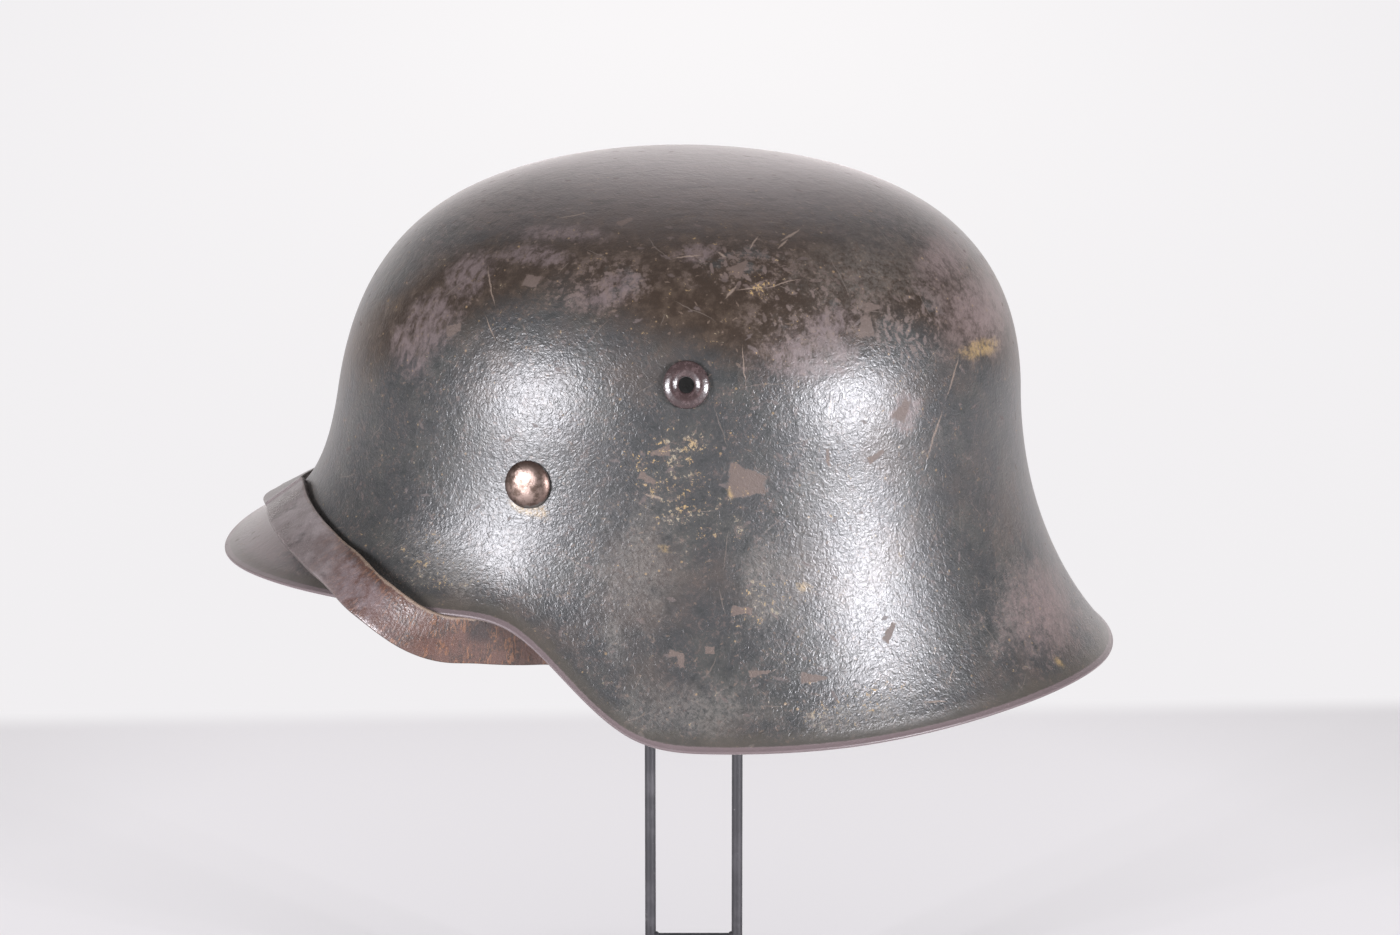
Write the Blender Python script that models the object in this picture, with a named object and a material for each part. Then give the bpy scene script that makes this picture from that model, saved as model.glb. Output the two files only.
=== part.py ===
"""Pressed steel helmet with its chin strap laid over the visor, on a plain wire stand.

The helmet faces -X and its left side faces -Y. The origin is the middle of the stand's underside.
Every place on the shell is given by an azimuth, in degrees from the front, and a drop below the waist,
the level at which the dome turns into the skirt.
"""
import math

import bmesh
import bpy
import numpy as np
from mathutils import Matrix, Vector

# Shell
WALL = 0.0012
DOME_LENGTH = 0.2234
DOME_WIDTH = 0.194
DOME_RISE = 0.076
DOME_EGG = 0.02
SKIRT_DROP = 0.0894
VISOR_REACH = 0.0377
CROWN_HEIGHT = 0.302
DOME_CENTRE_X = -0.0046
CROWN_PULL = 0.66
SIDE_PULL = 0.68
LIP_HEIGHT = 0.0018
LIP_FLARE = 0.0006
WAIST_Z = CROWN_HEIGHT - DOME_RISE

# The bend and the rim of the skirt. Reaches are shares of VISOR_REACH, drops are shares of SKIRT_DROP,
# and snug says how near the wall runs to its bend.
SKIRT_COLUMNS = ("azimuth", "bend_reach", "bend_drop", "rim_reach", "rim_drop", "snug")
SKIRT = (
    (0, 0.150, 0.414, 1.000, 0.594, 0.78),
    (20, 0.150, 0.414, 0.882, 0.569, 0.78),
    (40, 0.140, 0.425, 0.675, 0.550, 0.74),
    (52, 0.118, 0.436, 0.495, 0.559, 0.70),
    (62, 0.105, 0.459, 0.400, 0.594, 0.62),
    (72, 0.105, 0.537, 0.400, 0.772, 0.60),
    (82, 0.118, 0.615, 0.450, 0.946, 0.60),
    (95, 0.118, 0.649, 0.505, 0.998, 0.60),
    (115, 0.105, 0.649, 0.585, 0.994, 0.60),
    (140, 0.079, 0.593, 0.665, 0.964, 0.60),
    (160, 0.030, 0.575, 0.770, 0.949, 0.62),
    (180, 0.015, 0.565, 0.830, 0.957, 0.64),
)

# Fineness of the meshes
SHELL_SPOKES = 72
DOME_RINGS = 13
SKIRT_RINGS = 11
ROUND_SIDES = 20
WIRE_SIDES = 12

# Rings of the finer profile that pieces on the wall are placed by, and the short step that finds a slope
PLACING_RINGS = 60
SLOPE_STEP = WALL / 2
SLOPE_TURN = 0.5

# Clearance between pieces that touch, and the wider one on both faces of the lugs, which are flat
# across while the wall and the strap are round
GAP = 0.0003
LUG_CLEARANCE = 0.0006

# Vents, one on each side
VENT_AZIMUTH = 91.5
VENT_DROP = -0.0235
VENT_BOSS_RADIUS = 0.0072
VENT_CREST_RADIUS = 0.0050
VENT_HOLE_RADIUS = 0.0026
VENT_HEIGHT = 0.0022
VENT_FOOT_SHARE = 0.12
VENT_STEPS = 8

# Rivets, one on each side
RIVET_AZIMUTH = 61.9
RIVET_DROP = 0.0098
RIVET_HEAD_RADIUS = 0.0076
RIVET_HEAD_HEIGHT = 0.0036
RIVET_SHANK_RADIUS = 0.0022
RIVET_WASHER_RADIUS = 0.0045
RIVET_WASHER_THICKNESS = 0.001

# Lugs inside the shell, which carry the strap's hidden ends
LUG_THICKNESS = 0.0015
LUG_WIDTH = 0.011
LUG_POST_AZIMUTH = 78.0
LUG_POST_DROP = 0.059
LUG_POST_RADIUS = 0.0018
LUG_POST_HEAD_RADIUS = 0.0038
LUG_POST_HEAD_THICKNESS = 0.001
LUG_SECTIONS = 12

# Chin strap
STRAP_WIDTH = 0.015
STRAP_THICKNESS = 0.002
STRAP_TAIL = 0.009
STRAP_LANDING = 3
STRAP_SECTIONS_EACH_SIDE = 34

# The middle of the strap from its right side, at negative azimuths, to its left. Reach is out from the
# waist as a share of VISOR_REACH, drop is a share of SKIRT_DROP, and tilt turns its width out of the
# upright. Past the last rows it runs level inside the shell, to its lugs, lies on them STRAP_LANDING
# degrees before their posts, and ends STRAP_TAIL behind them.
ROUTE_COLUMNS = ("azimuth", "reach", "drop", "tilt")
ROUTE = (
    (-67, 0.130, 0.668, 0),
    (-61, 0.280, 0.676, 0),
    (-56, 0.430, 0.680, 0),
    (-51.5, 0.570, 0.668, 6),
    (-47, 0.690, 0.620, 18),
    (-42, 0.760, 0.555, 40),
    (-36, 0.690, 0.503, 59),
    (-27, 0.670, 0.487, 60),
    (-18, 0.660, 0.478, 60),
    (-11, 0.630, 0.465, 59),
    (-5, 0.540, 0.420, 57),
    (1, 0.495, 0.398, 55),
    (12.8, 0.490, 0.397, 61),
    (20, 0.525, 0.414, 62),
    (27, 0.565, 0.440, 62),
    (36, 0.650, 0.488, 53),
    (42, 0.730, 0.541, 42),
    (47, 0.690, 0.606, 22),
    (51.5, 0.560, 0.662, 7),
    (56, 0.410, 0.670, 1),
    (61, 0.270, 0.672, 0),
    (67, 0.135, 0.662, 0),
)

# Stand
FOOT_RADIUS = 0.075
FOOT_THICKNESS = 0.006
FOOT_CHAMFER = 0.001
ROD_RADIUS = 0.0018
ROD_SPACING = 0.029
ROD_SEAT = 0.004
BRACE_HEIGHT = 0.0345
BRACE_SHARE = 0.9
PAD_RADIUS = 0.040
PAD_EDGE = 0.007
PAD_RINGS = 5


def smooth_table(rows, columns):
    """Return a function that reads every column of a table by its first, on a curve level at both ends."""
    table = np.array(rows, float)
    knots, values = table[:, 0], table[:, 1:]
    steps = np.diff(knots)[:, None]
    slopes = np.diff(values, axis=0) / steps
    count = len(knots)
    matrix = np.eye(count)
    right = np.zeros_like(values)
    for i in range(1, count - 1):
        matrix[i, i - 1:i + 2] = (steps[i, 0], 2 * (steps[i - 1, 0] + steps[i, 0]), steps[i - 1, 0])
        right[i] = 3 * (steps[i] * slopes[i - 1] + steps[i - 1] * slopes[i])
    tangents = np.linalg.solve(matrix, right)

    def read(key):
        i = int(np.clip(np.searchsorted(knots, key) - 1, 0, count - 2))
        t = (key - knots[i]) / steps[i, 0]
        row = (values[i] * (1 + 2 * t) * (1 - t) ** 2 + values[i + 1] * t * t * (3 - 2 * t)
               + steps[i, 0] * t * (1 - t) * (tangents[i] * (1 - t) - tangents[i + 1] * t))
        return dict(zip(columns[1:], row))

    return read


skirt_at = smooth_table(SKIRT, SKIRT_COLUMNS)
route_at = smooth_table(ROUTE, ROUTE_COLUMNS)


def waist_radius(azimuth):
    c, s = math.cos(math.radians(azimuth)), math.sin(math.radians(azimuth))
    oval = 1 / math.hypot(2 * c / DOME_LENGTH, 2 * s / DOME_WIDTH)
    return oval * (1 - DOME_EGG * c * s * s)


def bezier(a, b, c, d, count):
    t = np.linspace(0, 1, count + 1)[:, None]
    return (1 - t) ** 3 * a + 3 * t * (1 - t) ** 2 * b + 3 * t * t * (1 - t) * c + t ** 3 * d


def meridian(azimuth, dome_rings=DOME_RINGS, skirt_rings=SKIRT_RINGS):
    """Outer profile from the crown to the rim, as radius and height over the waist."""
    row = skirt_at(abs((azimuth + 180) % 360 - 180))
    radius = waist_radius(azimuth)
    crown = np.array([0, DOME_RISE])
    waist = np.array([radius, 0])
    bend = np.array([radius + row["bend_reach"] * VISOR_REACH, -row["bend_drop"] * SKIRT_DROP])
    rim = np.array([radius + row["rim_reach"] * VISOR_REACH, -row["rim_drop"] * SKIRT_DROP])
    up_wall = (waist - bend) / -bend[1]
    dome = bezier(crown, crown + [CROWN_PULL * radius, 0], waist + up_wall * SIDE_PULL * DOME_RISE,
                  waist, dome_rings)
    down = (bend - rim) / np.linalg.norm(bend - rim)
    lip_root = rim + down * LIP_HEIGHT
    snug = row["snug"]
    skirt = bezier(waist, waist + (bend - waist) * snug, lip_root + (bend - lip_root) * snug,
                   lip_root, skirt_rings - 1)
    lip = rim + [LIP_FLARE, 0]
    return np.vstack([dome, skirt[1:], lip])


def place(azimuth, radius, height):
    """World point from an azimuth, a radius from the dome's axis and a height over the waist."""
    a = math.radians(azimuth)
    return Vector((DOME_CENTRE_X - radius * math.cos(a), -radius * math.sin(a), WAIST_Z + height))


def wall_point(azimuth, drop):
    profile = meridian(azimuth, PLACING_RINGS, PLACING_RINGS)
    radius = float(np.interp(drop, -profile[:, 1], profile[:, 0]))
    return place(azimuth, radius, -drop)


def wall_frame(azimuth, drop):
    """Point on the outer wall with its outward normal and the direction straight down the wall."""
    point = wall_point(azimuth, drop)
    around = wall_point(azimuth + SLOPE_TURN, drop) - wall_point(azimuth - SLOPE_TURN, drop)
    down = wall_point(azimuth, drop + SLOPE_STEP) - wall_point(azimuth, drop - SLOPE_STEP)
    normal = around.cross(down).normalized()
    if normal.dot(point - Vector((DOME_CENTRE_X, 0, point.z))) < 0:
        normal.negate()
    return point, normal, down.normalized()


def placing(azimuth, drop):
    """Matrix that stands a turned piece on the wall, its +Z axis outward."""
    point, normal, down = wall_frame(azimuth, drop)
    side = down.cross(normal).normalized()
    turn = Matrix((side, normal.cross(side), normal)).transposed()
    return Matrix.Translation(point) @ turn.to_4x4()


def dome_height(x, y):
    """Height of the outer dome over a point of the floor, and the cosine of its slope there."""
    radius = math.hypot(x - DOME_CENTRE_X, y)
    azimuth = math.degrees(math.atan2(-y, DOME_CENTRE_X - x))
    profile = meridian(azimuth, PLACING_RINGS)[:PLACING_RINGS + 1]
    height = float(np.interp(radius, profile[:, 0], profile[:, 1]))
    ahead = float(np.interp(radius + SLOPE_STEP, profile[:, 0], profile[:, 1]))
    return WAIST_Z + height, math.cos(math.atan2(height - ahead, SLOPE_STEP))


def finish(name, base_color, roughness, metallic):
    material = bpy.data.materials.new(name)
    material.use_nodes = True
    shader = material.node_tree.nodes["Principled BSDF"]
    shader.inputs["Base Color"].default_value = (*base_color, 1)
    shader.inputs["Roughness"].default_value = roughness
    shader.inputs["Metallic"].default_value = metallic
    return material


def add_object(name, bm, material, smooth_degrees=35):
    bmesh.ops.recalc_face_normals(bm, faces=bm.faces)
    if bm.calc_volume(signed=True) < 0:
        bmesh.ops.reverse_faces(bm, faces=bm.faces)
    mesh = bpy.data.meshes.new(name)
    bm.to_mesh(mesh)
    bm.free()
    if smooth_degrees:
        mesh.shade_smooth()
        mesh.set_sharp_from_angle(angle=math.radians(smooth_degrees))
    obj = bpy.data.objects.new(name, mesh)
    if material:
        mesh.materials.append(material)
    bpy.context.scene.collection.objects.link(obj)
    return obj


def turned(profile, sides=ROUND_SIDES):
    """Solid of revolution about +Z from (radius, height) pairs that start and end on the axis."""
    bm = bmesh.new()
    verts = [bm.verts.new((r, 0, z)) for r, z in profile]
    edges = [bm.edges.new(pair) for pair in zip(verts, verts[1:])]
    bmesh.ops.spin(bm, geom=verts + edges, axis=(0, 0, 1), cent=(0, 0, 0), angle=2 * math.pi,
                   steps=sides, use_merge=True)
    bmesh.ops.remove_doubles(bm, verts=bm.verts, dist=1e-6)
    return bm


def rod(radius, start, end, sides):
    """Straight round bar between two points."""
    start, end = Vector(start), Vector(end)
    axis = end - start
    turn = Vector((0, 0, 1)).rotation_difference(axis).to_matrix().to_4x4()
    bm = turned([(0, 0), (radius, 0), (radius, axis.length), (0, axis.length)], sides)
    bm.transform(Matrix.Translation(start) @ turn @ Matrix.Rotation(math.pi / sides, 4, "Z"))
    return bm


def cutter(name, bm):
    obj = add_object(name, bm, None, 0)
    obj.hide_render = True
    obj.display_type = "WIRE"
    return obj


def boolean(obj, tool, operation):
    modifier = obj.modifiers.new(tool.name, "BOOLEAN")
    modifier.operation = operation
    modifier.solver = "EXACT"
    modifier.object = tool


def ribbon(sections):
    """Closed bar from sections, each a loop of as many points."""
    bm = bmesh.new()
    loops = [[bm.verts.new(p) for p in section] for section in sections]
    size = len(loops[0])
    for a, b in zip(loops, loops[1:]):
        for i in range(size):
            j = (i + 1) % size
            bm.faces.new((a[i], a[j], b[j], b[i]))
    bm.faces.new(loops[0])
    bm.faces.new(loops[-1])
    return bm


def flat_section(centre, across, normal, width, thickness):
    half_width, half_thickness = across * width / 2, normal * thickness / 2
    return [centre + half_width + half_thickness, centre - half_width + half_thickness,
            centre - half_width - half_thickness, centre + half_width - half_thickness]


def build_shell(material):
    """Open outer skin, thickened inward, with the vent bosses joined on and all holes cut."""
    bm = bmesh.new()
    crown = bm.verts.new(place(0, 0, DOME_RISE))
    spokes = []
    for i in range(SHELL_SPOKES):
        azimuth = 360 * i / SHELL_SPOKES
        spokes.append([bm.verts.new(place(azimuth, r, z)) for r, z in meridian(azimuth)[1:]])
    for a, b in zip(spokes, spokes[1:] + spokes[:1]):
        bm.faces.new((crown, a[0], b[0]))
        for j in range(len(a) - 1):
            bm.faces.new((a[j], a[j + 1], b[j + 1], b[j]))
    shell = add_object("helmet_shell", bm, material)
    solid = shell.modifiers.new("wall", "SOLIDIFY")
    solid.thickness = WALL
    solid.offset = -1
    solid.use_even_offset = True
    for side, sign in (("left", 1), ("right", -1)):
        vent = placing(sign * VENT_AZIMUTH, VENT_DROP)
        boss = turned_boss()
        boss.transform(vent)
        boolean(shell, cutter("vent_boss_" + side, boss), "UNION")
        depth = WALL + VENT_HEIGHT
        hole = rod(VENT_HOLE_RADIUS, (0, 0, -2 * depth), (0, 0, 2 * depth), ROUND_SIDES)
        hole.transform(vent)
        boolean(shell, cutter("vent_hole_" + side, hole), "DIFFERENCE")
        hole = rod(RIVET_SHANK_RADIUS + GAP, (0, 0, -3 * WALL), (0, 0, 3 * WALL), ROUND_SIDES)
        hole.transform(placing(sign * RIVET_AZIMUTH, RIVET_DROP))
        boolean(shell, cutter("rivet_hole_" + side, hole), "DIFFERENCE")
    return shell


def turned_boss():
    """Rounded raised ring, sunk halfway into the wall."""
    sink = -WALL / 2
    inner_radius = VENT_HOLE_RADIUS - GAP
    profile = [(0, sink), (VENT_BOSS_RADIUS, sink)]
    for radius in np.linspace(VENT_BOSS_RADIUS, inner_radius, VENT_STEPS + 1):
        run = VENT_BOSS_RADIUS - VENT_CREST_RADIUS if radius > VENT_CREST_RADIUS else (
            VENT_CREST_RADIUS - inner_radius)
        swell = math.cos(min(1, abs(radius - VENT_CREST_RADIUS) / run) * math.pi / 2)
        profile.append((radius, VENT_HEIGHT * (VENT_FOOT_SHARE + (1 - VENT_FOOT_SHARE) * swell)))
    profile.append((0, profile[-1][1]))
    return turned(profile)


def build_rivet(side, sign, material):
    """Domed head outside, shank through shell and lug, clinched washer inside."""
    steps = 6
    inner = -(WALL + LUG_CLEARANCE + LUG_THICKNESS + GAP)
    end = inner - RIVET_WASHER_THICKNESS
    profile = [(0, end), (RIVET_WASHER_RADIUS, end), (RIVET_WASHER_RADIUS, inner),
               (RIVET_SHANK_RADIUS, inner), (RIVET_SHANK_RADIUS, GAP)]
    for i in range(steps + 1):
        angle = math.pi / 2 * i / steps
        profile.append((RIVET_HEAD_RADIUS * math.cos(angle),
                        GAP + RIVET_HEAD_HEIGHT * math.sin(angle)))
    profile[-1] = (0, GAP + RIVET_HEAD_HEIGHT)
    bm = turned(profile)
    rivet = add_object("rivet_" + side, bm, material)
    rivet.matrix_world = placing(sign * RIVET_AZIMUTH, RIVET_DROP)


def build_lug(side, sign, material):
    """Steel strip inside the wall, hung from the rivet, with a headed post for the strap's end."""
    start = np.array([RIVET_AZIMUTH, RIVET_DROP])
    end = np.array([LUG_POST_AZIMUTH, LUG_POST_DROP])
    depth = WALL + LUG_CLEARANCE + LUG_THICKNESS / 2
    length = (wall_point(*end) - wall_point(*start)).length
    over = LUG_WIDTH / 2 / length
    centres, normals = [], []
    for i in range(LUG_SECTIONS + 1):
        share = -over + (1 + 2 * over) * i / LUG_SECTIONS
        azimuth, drop = start + (end - start) * share
        point, normal, _ = wall_frame(sign * azimuth, drop)
        centres.append(point - normal * depth)
        normals.append(normal)
    sections = []
    for i, (centre, normal) in enumerate(zip(centres, normals)):
        along = centres[min(i + 1, LUG_SECTIONS)] - centres[max(i - 1, 0)]
        across = along.cross(normal).normalized()
        sections.append(flat_section(centre, across, normal, LUG_WIDTH, LUG_THICKNESS))
    lug = add_object("strap_lug_" + side, ribbon(sections), material)
    post_frame = placing(sign * LUG_POST_AZIMUTH, LUG_POST_DROP)
    near = -depth
    far = -(WALL + 2 * LUG_CLEARANCE + LUG_THICKNESS + STRAP_THICKNESS + GAP)
    cap = far - LUG_POST_HEAD_THICKNESS
    post = turned([(0, cap), (LUG_POST_HEAD_RADIUS, cap), (LUG_POST_HEAD_RADIUS, far),
                   (LUG_POST_RADIUS, far), (LUG_POST_RADIUS, near), (0, near)])
    post.transform(post_frame)
    boolean(lug, cutter("lug_post_" + side, post), "UNION")
    reach = WALL + LUG_THICKNESS + 4 * GAP
    hole = rod(RIVET_SHANK_RADIUS + GAP, (0, 0, -2 * reach), (0, 0, reach), ROUND_SIDES)
    hole.transform(placing(sign * RIVET_AZIMUTH, RIVET_DROP))
    boolean(lug, cutter("lug_hole_" + side, hole), "DIFFERENCE")


def strap_station(azimuth):
    """Middle of the strap and the direction from its upper edge to its lower one."""
    a = abs(azimuth)
    post_depth = WALL + 2 * LUG_CLEARANCE + LUG_THICKNESS + STRAP_THICKNESS / 2
    last = ROUTE[-1][0]
    if a <= last:
        row = route_at(azimuth)
        radius = waist_radius(azimuth) + row["reach"] * VISOR_REACH
        centre = place(azimuth, radius, -row["drop"] * SKIRT_DROP)
        tilt = math.radians(row["tilt"])
        out = Vector((-math.cos(math.radians(azimuth)), -math.sin(math.radians(azimuth)), 0))
        return centre, out * math.sin(tilt) - Vector((0, 0, 1)) * math.cos(tilt)
    share = min(1, (a - last) / (LUG_POST_AZIMUTH - STRAP_LANDING - last))
    blend = share * share * (3 - 2 * share)
    point, normal, down = wall_frame(azimuth, LUG_POST_DROP)
    seat = point - normal * post_depth
    row = route_at(math.copysign(last, azimuth))
    free = place(azimuth, waist_radius(a) + row["reach"] * VISOR_REACH, -row["drop"] * SKIRT_DROP)
    return free.lerp(seat, blend), Vector((0, 0, -1)).lerp(down, blend).normalized()


def build_strap(material):
    """One leather strap from lug to lug, round the front of the dome and over the visor."""
    tail = math.degrees(STRAP_TAIL / waist_radius(LUG_POST_AZIMUTH))
    last = LUG_POST_AZIMUTH + tail
    count = STRAP_SECTIONS_EACH_SIDE
    azimuths = [last * i / count for i in range(-count, count + 1)]
    stations = [strap_station(a) for a in azimuths]
    sections = []
    for i, (centre, across) in enumerate(stations):
        ahead = stations[min(i + 1, 2 * count)][0]
        behind = stations[max(i - 1, 0)][0]
        along = (ahead - behind).normalized()
        normal = along.cross(across).normalized()
        across = normal.cross(along).normalized()
        sections.append(flat_section(centre, across, normal, STRAP_WIDTH, STRAP_THICKNESS))
    strap = add_object("chin_strap", ribbon(sections), material)
    for side, sign in (("left", 1), ("right", -1)):
        reach = WALL + 3 * GAP + LUG_THICKNESS + STRAP_THICKNESS
        hole = rod(LUG_POST_RADIUS + GAP, (0, 0, -2 * reach), (0, 0, reach), ROUND_SIDES)
        hole.transform(placing(sign * LUG_POST_AZIMUTH, LUG_POST_DROP))
        boolean(strap, cutter("strap_hole_" + side, hole), "DIFFERENCE")


def pad_underside():
    edge = min(dome_height(PAD_RADIUS * math.cos(a), PAD_RADIUS * math.sin(a))[0]
               for a in np.linspace(0, 2 * math.pi, SHELL_SPOKES))
    return edge - WALL - GAP - PAD_EDGE


def build_pad(material):
    """Plain domed pad under the crown, with a blind socket for each upright."""
    bottom = pad_underside()
    sides = 2 * ROUND_SIDES
    bm = bmesh.new()

    def top_vertex(radius, angle):
        x, y = radius * math.cos(angle), radius * math.sin(angle)
        height, slope = dome_height(x, y)
        return bm.verts.new((x, y, height - (WALL + GAP) / slope - GAP))

    middle = top_vertex(0, 0)
    rings = [[top_vertex(PAD_RADIUS * (k + 1) / PAD_RINGS, 2 * math.pi * i / sides)
              for i in range(sides)] for k in range(PAD_RINGS)]
    base = [bm.verts.new((v.co.x, v.co.y, bottom)) for v in rings[-1]]
    rings.append(base)
    for i in range(sides):
        j = (i + 1) % sides
        bm.faces.new((middle, rings[0][i], rings[0][j]))
        for a, b in zip(rings, rings[1:]):
            bm.faces.new((a[i], b[i], b[j], a[j]))
    bm.faces.new(base)
    pad = add_object("stand_pad", bm, material)
    for name, sign in (("front", -1), ("rear", 1)):
        x = sign * ROD_SPACING / 2
        hole = rod(ROD_RADIUS + GAP, (x, 0, bottom - ROD_SEAT), (x, 0, bottom + ROD_SEAT), WIRE_SIDES)
        boolean(pad, cutter("pad_socket_" + name, hole), "DIFFERENCE")


def build_frame(material):
    """Two uprights and the brace between them, welded into one."""
    low = FOOT_THICKNESS - ROD_SEAT + GAP
    high = pad_underside() + ROD_SEAT - GAP
    half = ROD_SPACING / 2
    frame = add_object("stand_frame", rod(ROD_RADIUS, (-half, 0, low), (-half, 0, high), WIRE_SIDES),
                       material)
    rear = rod(ROD_RADIUS, (half, 0, low), (half, 0, high), WIRE_SIDES)
    brace = rod(BRACE_SHARE * ROD_RADIUS, (-half, 0, BRACE_HEIGHT), (half, 0, BRACE_HEIGHT), WIRE_SIDES)
    boolean(frame, cutter("brace", brace), "UNION")
    boolean(frame, cutter("rear_upright", rear), "UNION")


def build_foot(material):
    """Round plate with a chamfered upper edge and a blind socket for each upright."""
    bm = turned([(0, 0), (FOOT_RADIUS, 0), (FOOT_RADIUS, FOOT_THICKNESS - FOOT_CHAMFER),
                 (FOOT_RADIUS - FOOT_CHAMFER, FOOT_THICKNESS), (0, FOOT_THICKNESS)], 3 * ROUND_SIDES)
    foot = add_object("stand_foot", bm, material)
    for name, sign in (("front", -1), ("rear", 1)):
        x = sign * ROD_SPACING / 2
        hole = rod(ROD_RADIUS + GAP, (x, 0, FOOT_THICKNESS - ROD_SEAT),
                   (x, 0, FOOT_THICKNESS + ROD_SEAT), WIRE_SIDES)
        boolean(foot, cutter("foot_socket_" + name, hole), "DIFFERENCE")


def build():
    for obj in list(bpy.data.objects):
        bpy.data.objects.remove(obj)
    paint = finish("shell_paint", (0.045, 0.055, 0.050), 0.38, 0.0)
    rivet_metal = finish("rivet_metal", (0.36, 0.26, 0.20), 0.35, 0.9)
    lug_steel = finish("lug_steel", (0.22, 0.21, 0.20), 0.5, 0.9)
    leather = finish("leather", (0.11, 0.045, 0.030), 0.45, 0.0)
    wire = finish("stand_wire", (0.06, 0.06, 0.07), 0.4, 0.6)
    felt = finish("pad_felt", (0.08, 0.08, 0.08), 0.95, 0.0)
    build_shell(paint)
    for side, sign in (("left", 1), ("right", -1)):
        build_rivet(side, sign, rivet_metal)
        build_lug(side, sign, lug_steel)
    build_strap(leather)
    build_pad(felt)
    build_frame(wire)
    build_foot(wire)


build()
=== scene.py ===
"""Looks of a worn steel helmet on its wire stand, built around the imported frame.

The helmet faces -X and its left side faces -Y. A place on the shell is given as in the part's source, by
an azimuth in degrees from the front and a drop below the waist, where the dome turns into the skirt.
"""
import math
import random
from functools import reduce

import bmesh
import bpy
import numpy as np
from bpy.props import FloatProperty, FloatVectorProperty, IntProperty, PointerProperty
from bpy.types import Operator, Panel, PropertyGroup
from mathutils import Matrix, Vector, noise


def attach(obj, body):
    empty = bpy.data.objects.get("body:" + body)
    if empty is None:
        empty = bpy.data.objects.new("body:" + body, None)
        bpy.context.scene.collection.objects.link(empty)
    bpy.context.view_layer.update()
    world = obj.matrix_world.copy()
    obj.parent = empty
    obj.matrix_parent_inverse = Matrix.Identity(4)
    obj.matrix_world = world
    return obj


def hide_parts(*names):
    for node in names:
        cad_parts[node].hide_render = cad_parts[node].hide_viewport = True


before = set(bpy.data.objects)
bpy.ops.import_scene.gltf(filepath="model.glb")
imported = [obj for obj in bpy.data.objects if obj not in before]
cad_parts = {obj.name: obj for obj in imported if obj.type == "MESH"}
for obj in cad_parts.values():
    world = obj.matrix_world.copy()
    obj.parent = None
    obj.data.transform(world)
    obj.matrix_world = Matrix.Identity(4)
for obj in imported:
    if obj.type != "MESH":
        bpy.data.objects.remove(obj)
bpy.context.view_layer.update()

bl_info = {
    "name": "Worn Steel Helmet",
    "version": (1, 0, 0),
    "blender": (4, 5, 0),
    "location": "3D View > Sidebar > Helmet",
    "description": "Dresses the helmet's frame in its finished surfaces and sets its stage",
    "category": "Object",
}

# Shell, as in the part's source
WALL = 0.0012
DOME_LENGTH = 0.2234
DOME_WIDTH = 0.194
DOME_RISE = 0.076
DOME_EGG = 0.02
SKIRT_DROP = 0.0894
VISOR_REACH = 0.0377
CROWN_HEIGHT = 0.302
DOME_CENTRE_X = -0.0046
CROWN_PULL = 0.66
SIDE_PULL = 0.68
LIP_HEIGHT = 0.0018
LIP_FLARE = 0.0006
WAIST_Z = CROWN_HEIGHT - DOME_RISE
VISOR_TIP = DOME_CENTRE_X - DOME_LENGTH / 2 - VISOR_REACH

# Reaches are shares of VISOR_REACH, drops are shares of SKIRT_DROP
SKIRT_COLUMNS = ("azimuth", "bend_reach", "bend_drop", "rim_reach", "rim_drop", "snug")
SKIRT = (
    (0, 0.150, 0.414, 1.000, 0.594, 0.78),
    (20, 0.150, 0.414, 0.882, 0.569, 0.78),
    (40, 0.140, 0.425, 0.675, 0.550, 0.74),
    (52, 0.118, 0.436, 0.495, 0.559, 0.70),
    (62, 0.105, 0.459, 0.400, 0.594, 0.62),
    (72, 0.105, 0.537, 0.400, 0.772, 0.60),
    (82, 0.118, 0.615, 0.450, 0.946, 0.60),
    (95, 0.118, 0.649, 0.505, 0.998, 0.60),
    (115, 0.105, 0.649, 0.585, 0.994, 0.60),
    (140, 0.079, 0.593, 0.665, 0.964, 0.60),
    (160, 0.030, 0.575, 0.770, 0.949, 0.62),
    (180, 0.015, 0.565, 0.830, 0.957, 0.64),
)

# Vents and rivets, one of each on each side
SIDES = (("left", 1), ("right", -1))
VENT_AZIMUTH = 91.5
VENT_DROP = -0.0235
VENT_BOSS_RADIUS = 0.0072
VENT_HOLE_RADIUS = 0.0026
VENT_HEIGHT = 0.0022
# Radius and fall below the crest, from the foot of the ring into its funnel
VENT_PROFILE = (
    (0.00755, 0.0015), (0.00748, 0.0011), (0.00735, 0.00088), (0.0071, 0.00072), (0.0068, 0.00057),
    (0.0064, 0.00040), (0.0060, 0.00024), (0.0056, 0.00011), (0.0052, 0.00003), (0.0049, 0.0),
    (0.0046, 0.00004), (0.0043, 0.00014), (0.0040, 0.00027), (0.0037, 0.00041), (0.0034, 0.00056),
    (0.0031, 0.00074), (0.0029, 0.00090), (0.0027, 0.00110),
)
RIVET_AZIMUTH = 61.9
RIVET_DROP = 0.0098
RIVET_HEAD_RADIUS = 0.0076
RIVET_HEAD_HEIGHT = 0.0036
RIVET_FOOT = 0.0004
# Height from which the rivet's head is dented, and the size and depth of its dents
RIVET_DENTED_FROM = 0.0006
RIVET_DENTS = (0.004, 0.00012)
RIVET_SHANK_RADIUS = 0.0022
RIVET_WASHER_RADIUS = 0.0045
RIVET_WASHER_THICKNESS = 0.001
LUG_THICKNESS = 0.0015
LUG_CLEARANCE = 0.0006
LUG_POST_AZIMUTH = 78.0
LUG_POST_DROP = 0.059
GAP = 0.0003
CUT_REACH = 0.006

# Chin strap, on a route within 2 mm of the one in the part's source
STRAP_WIDTH = 0.015
STRAP_THICKNESS = 0.002
STRAP_CORNER = 0.0005
STRAP_TAIL = 0.009
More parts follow.
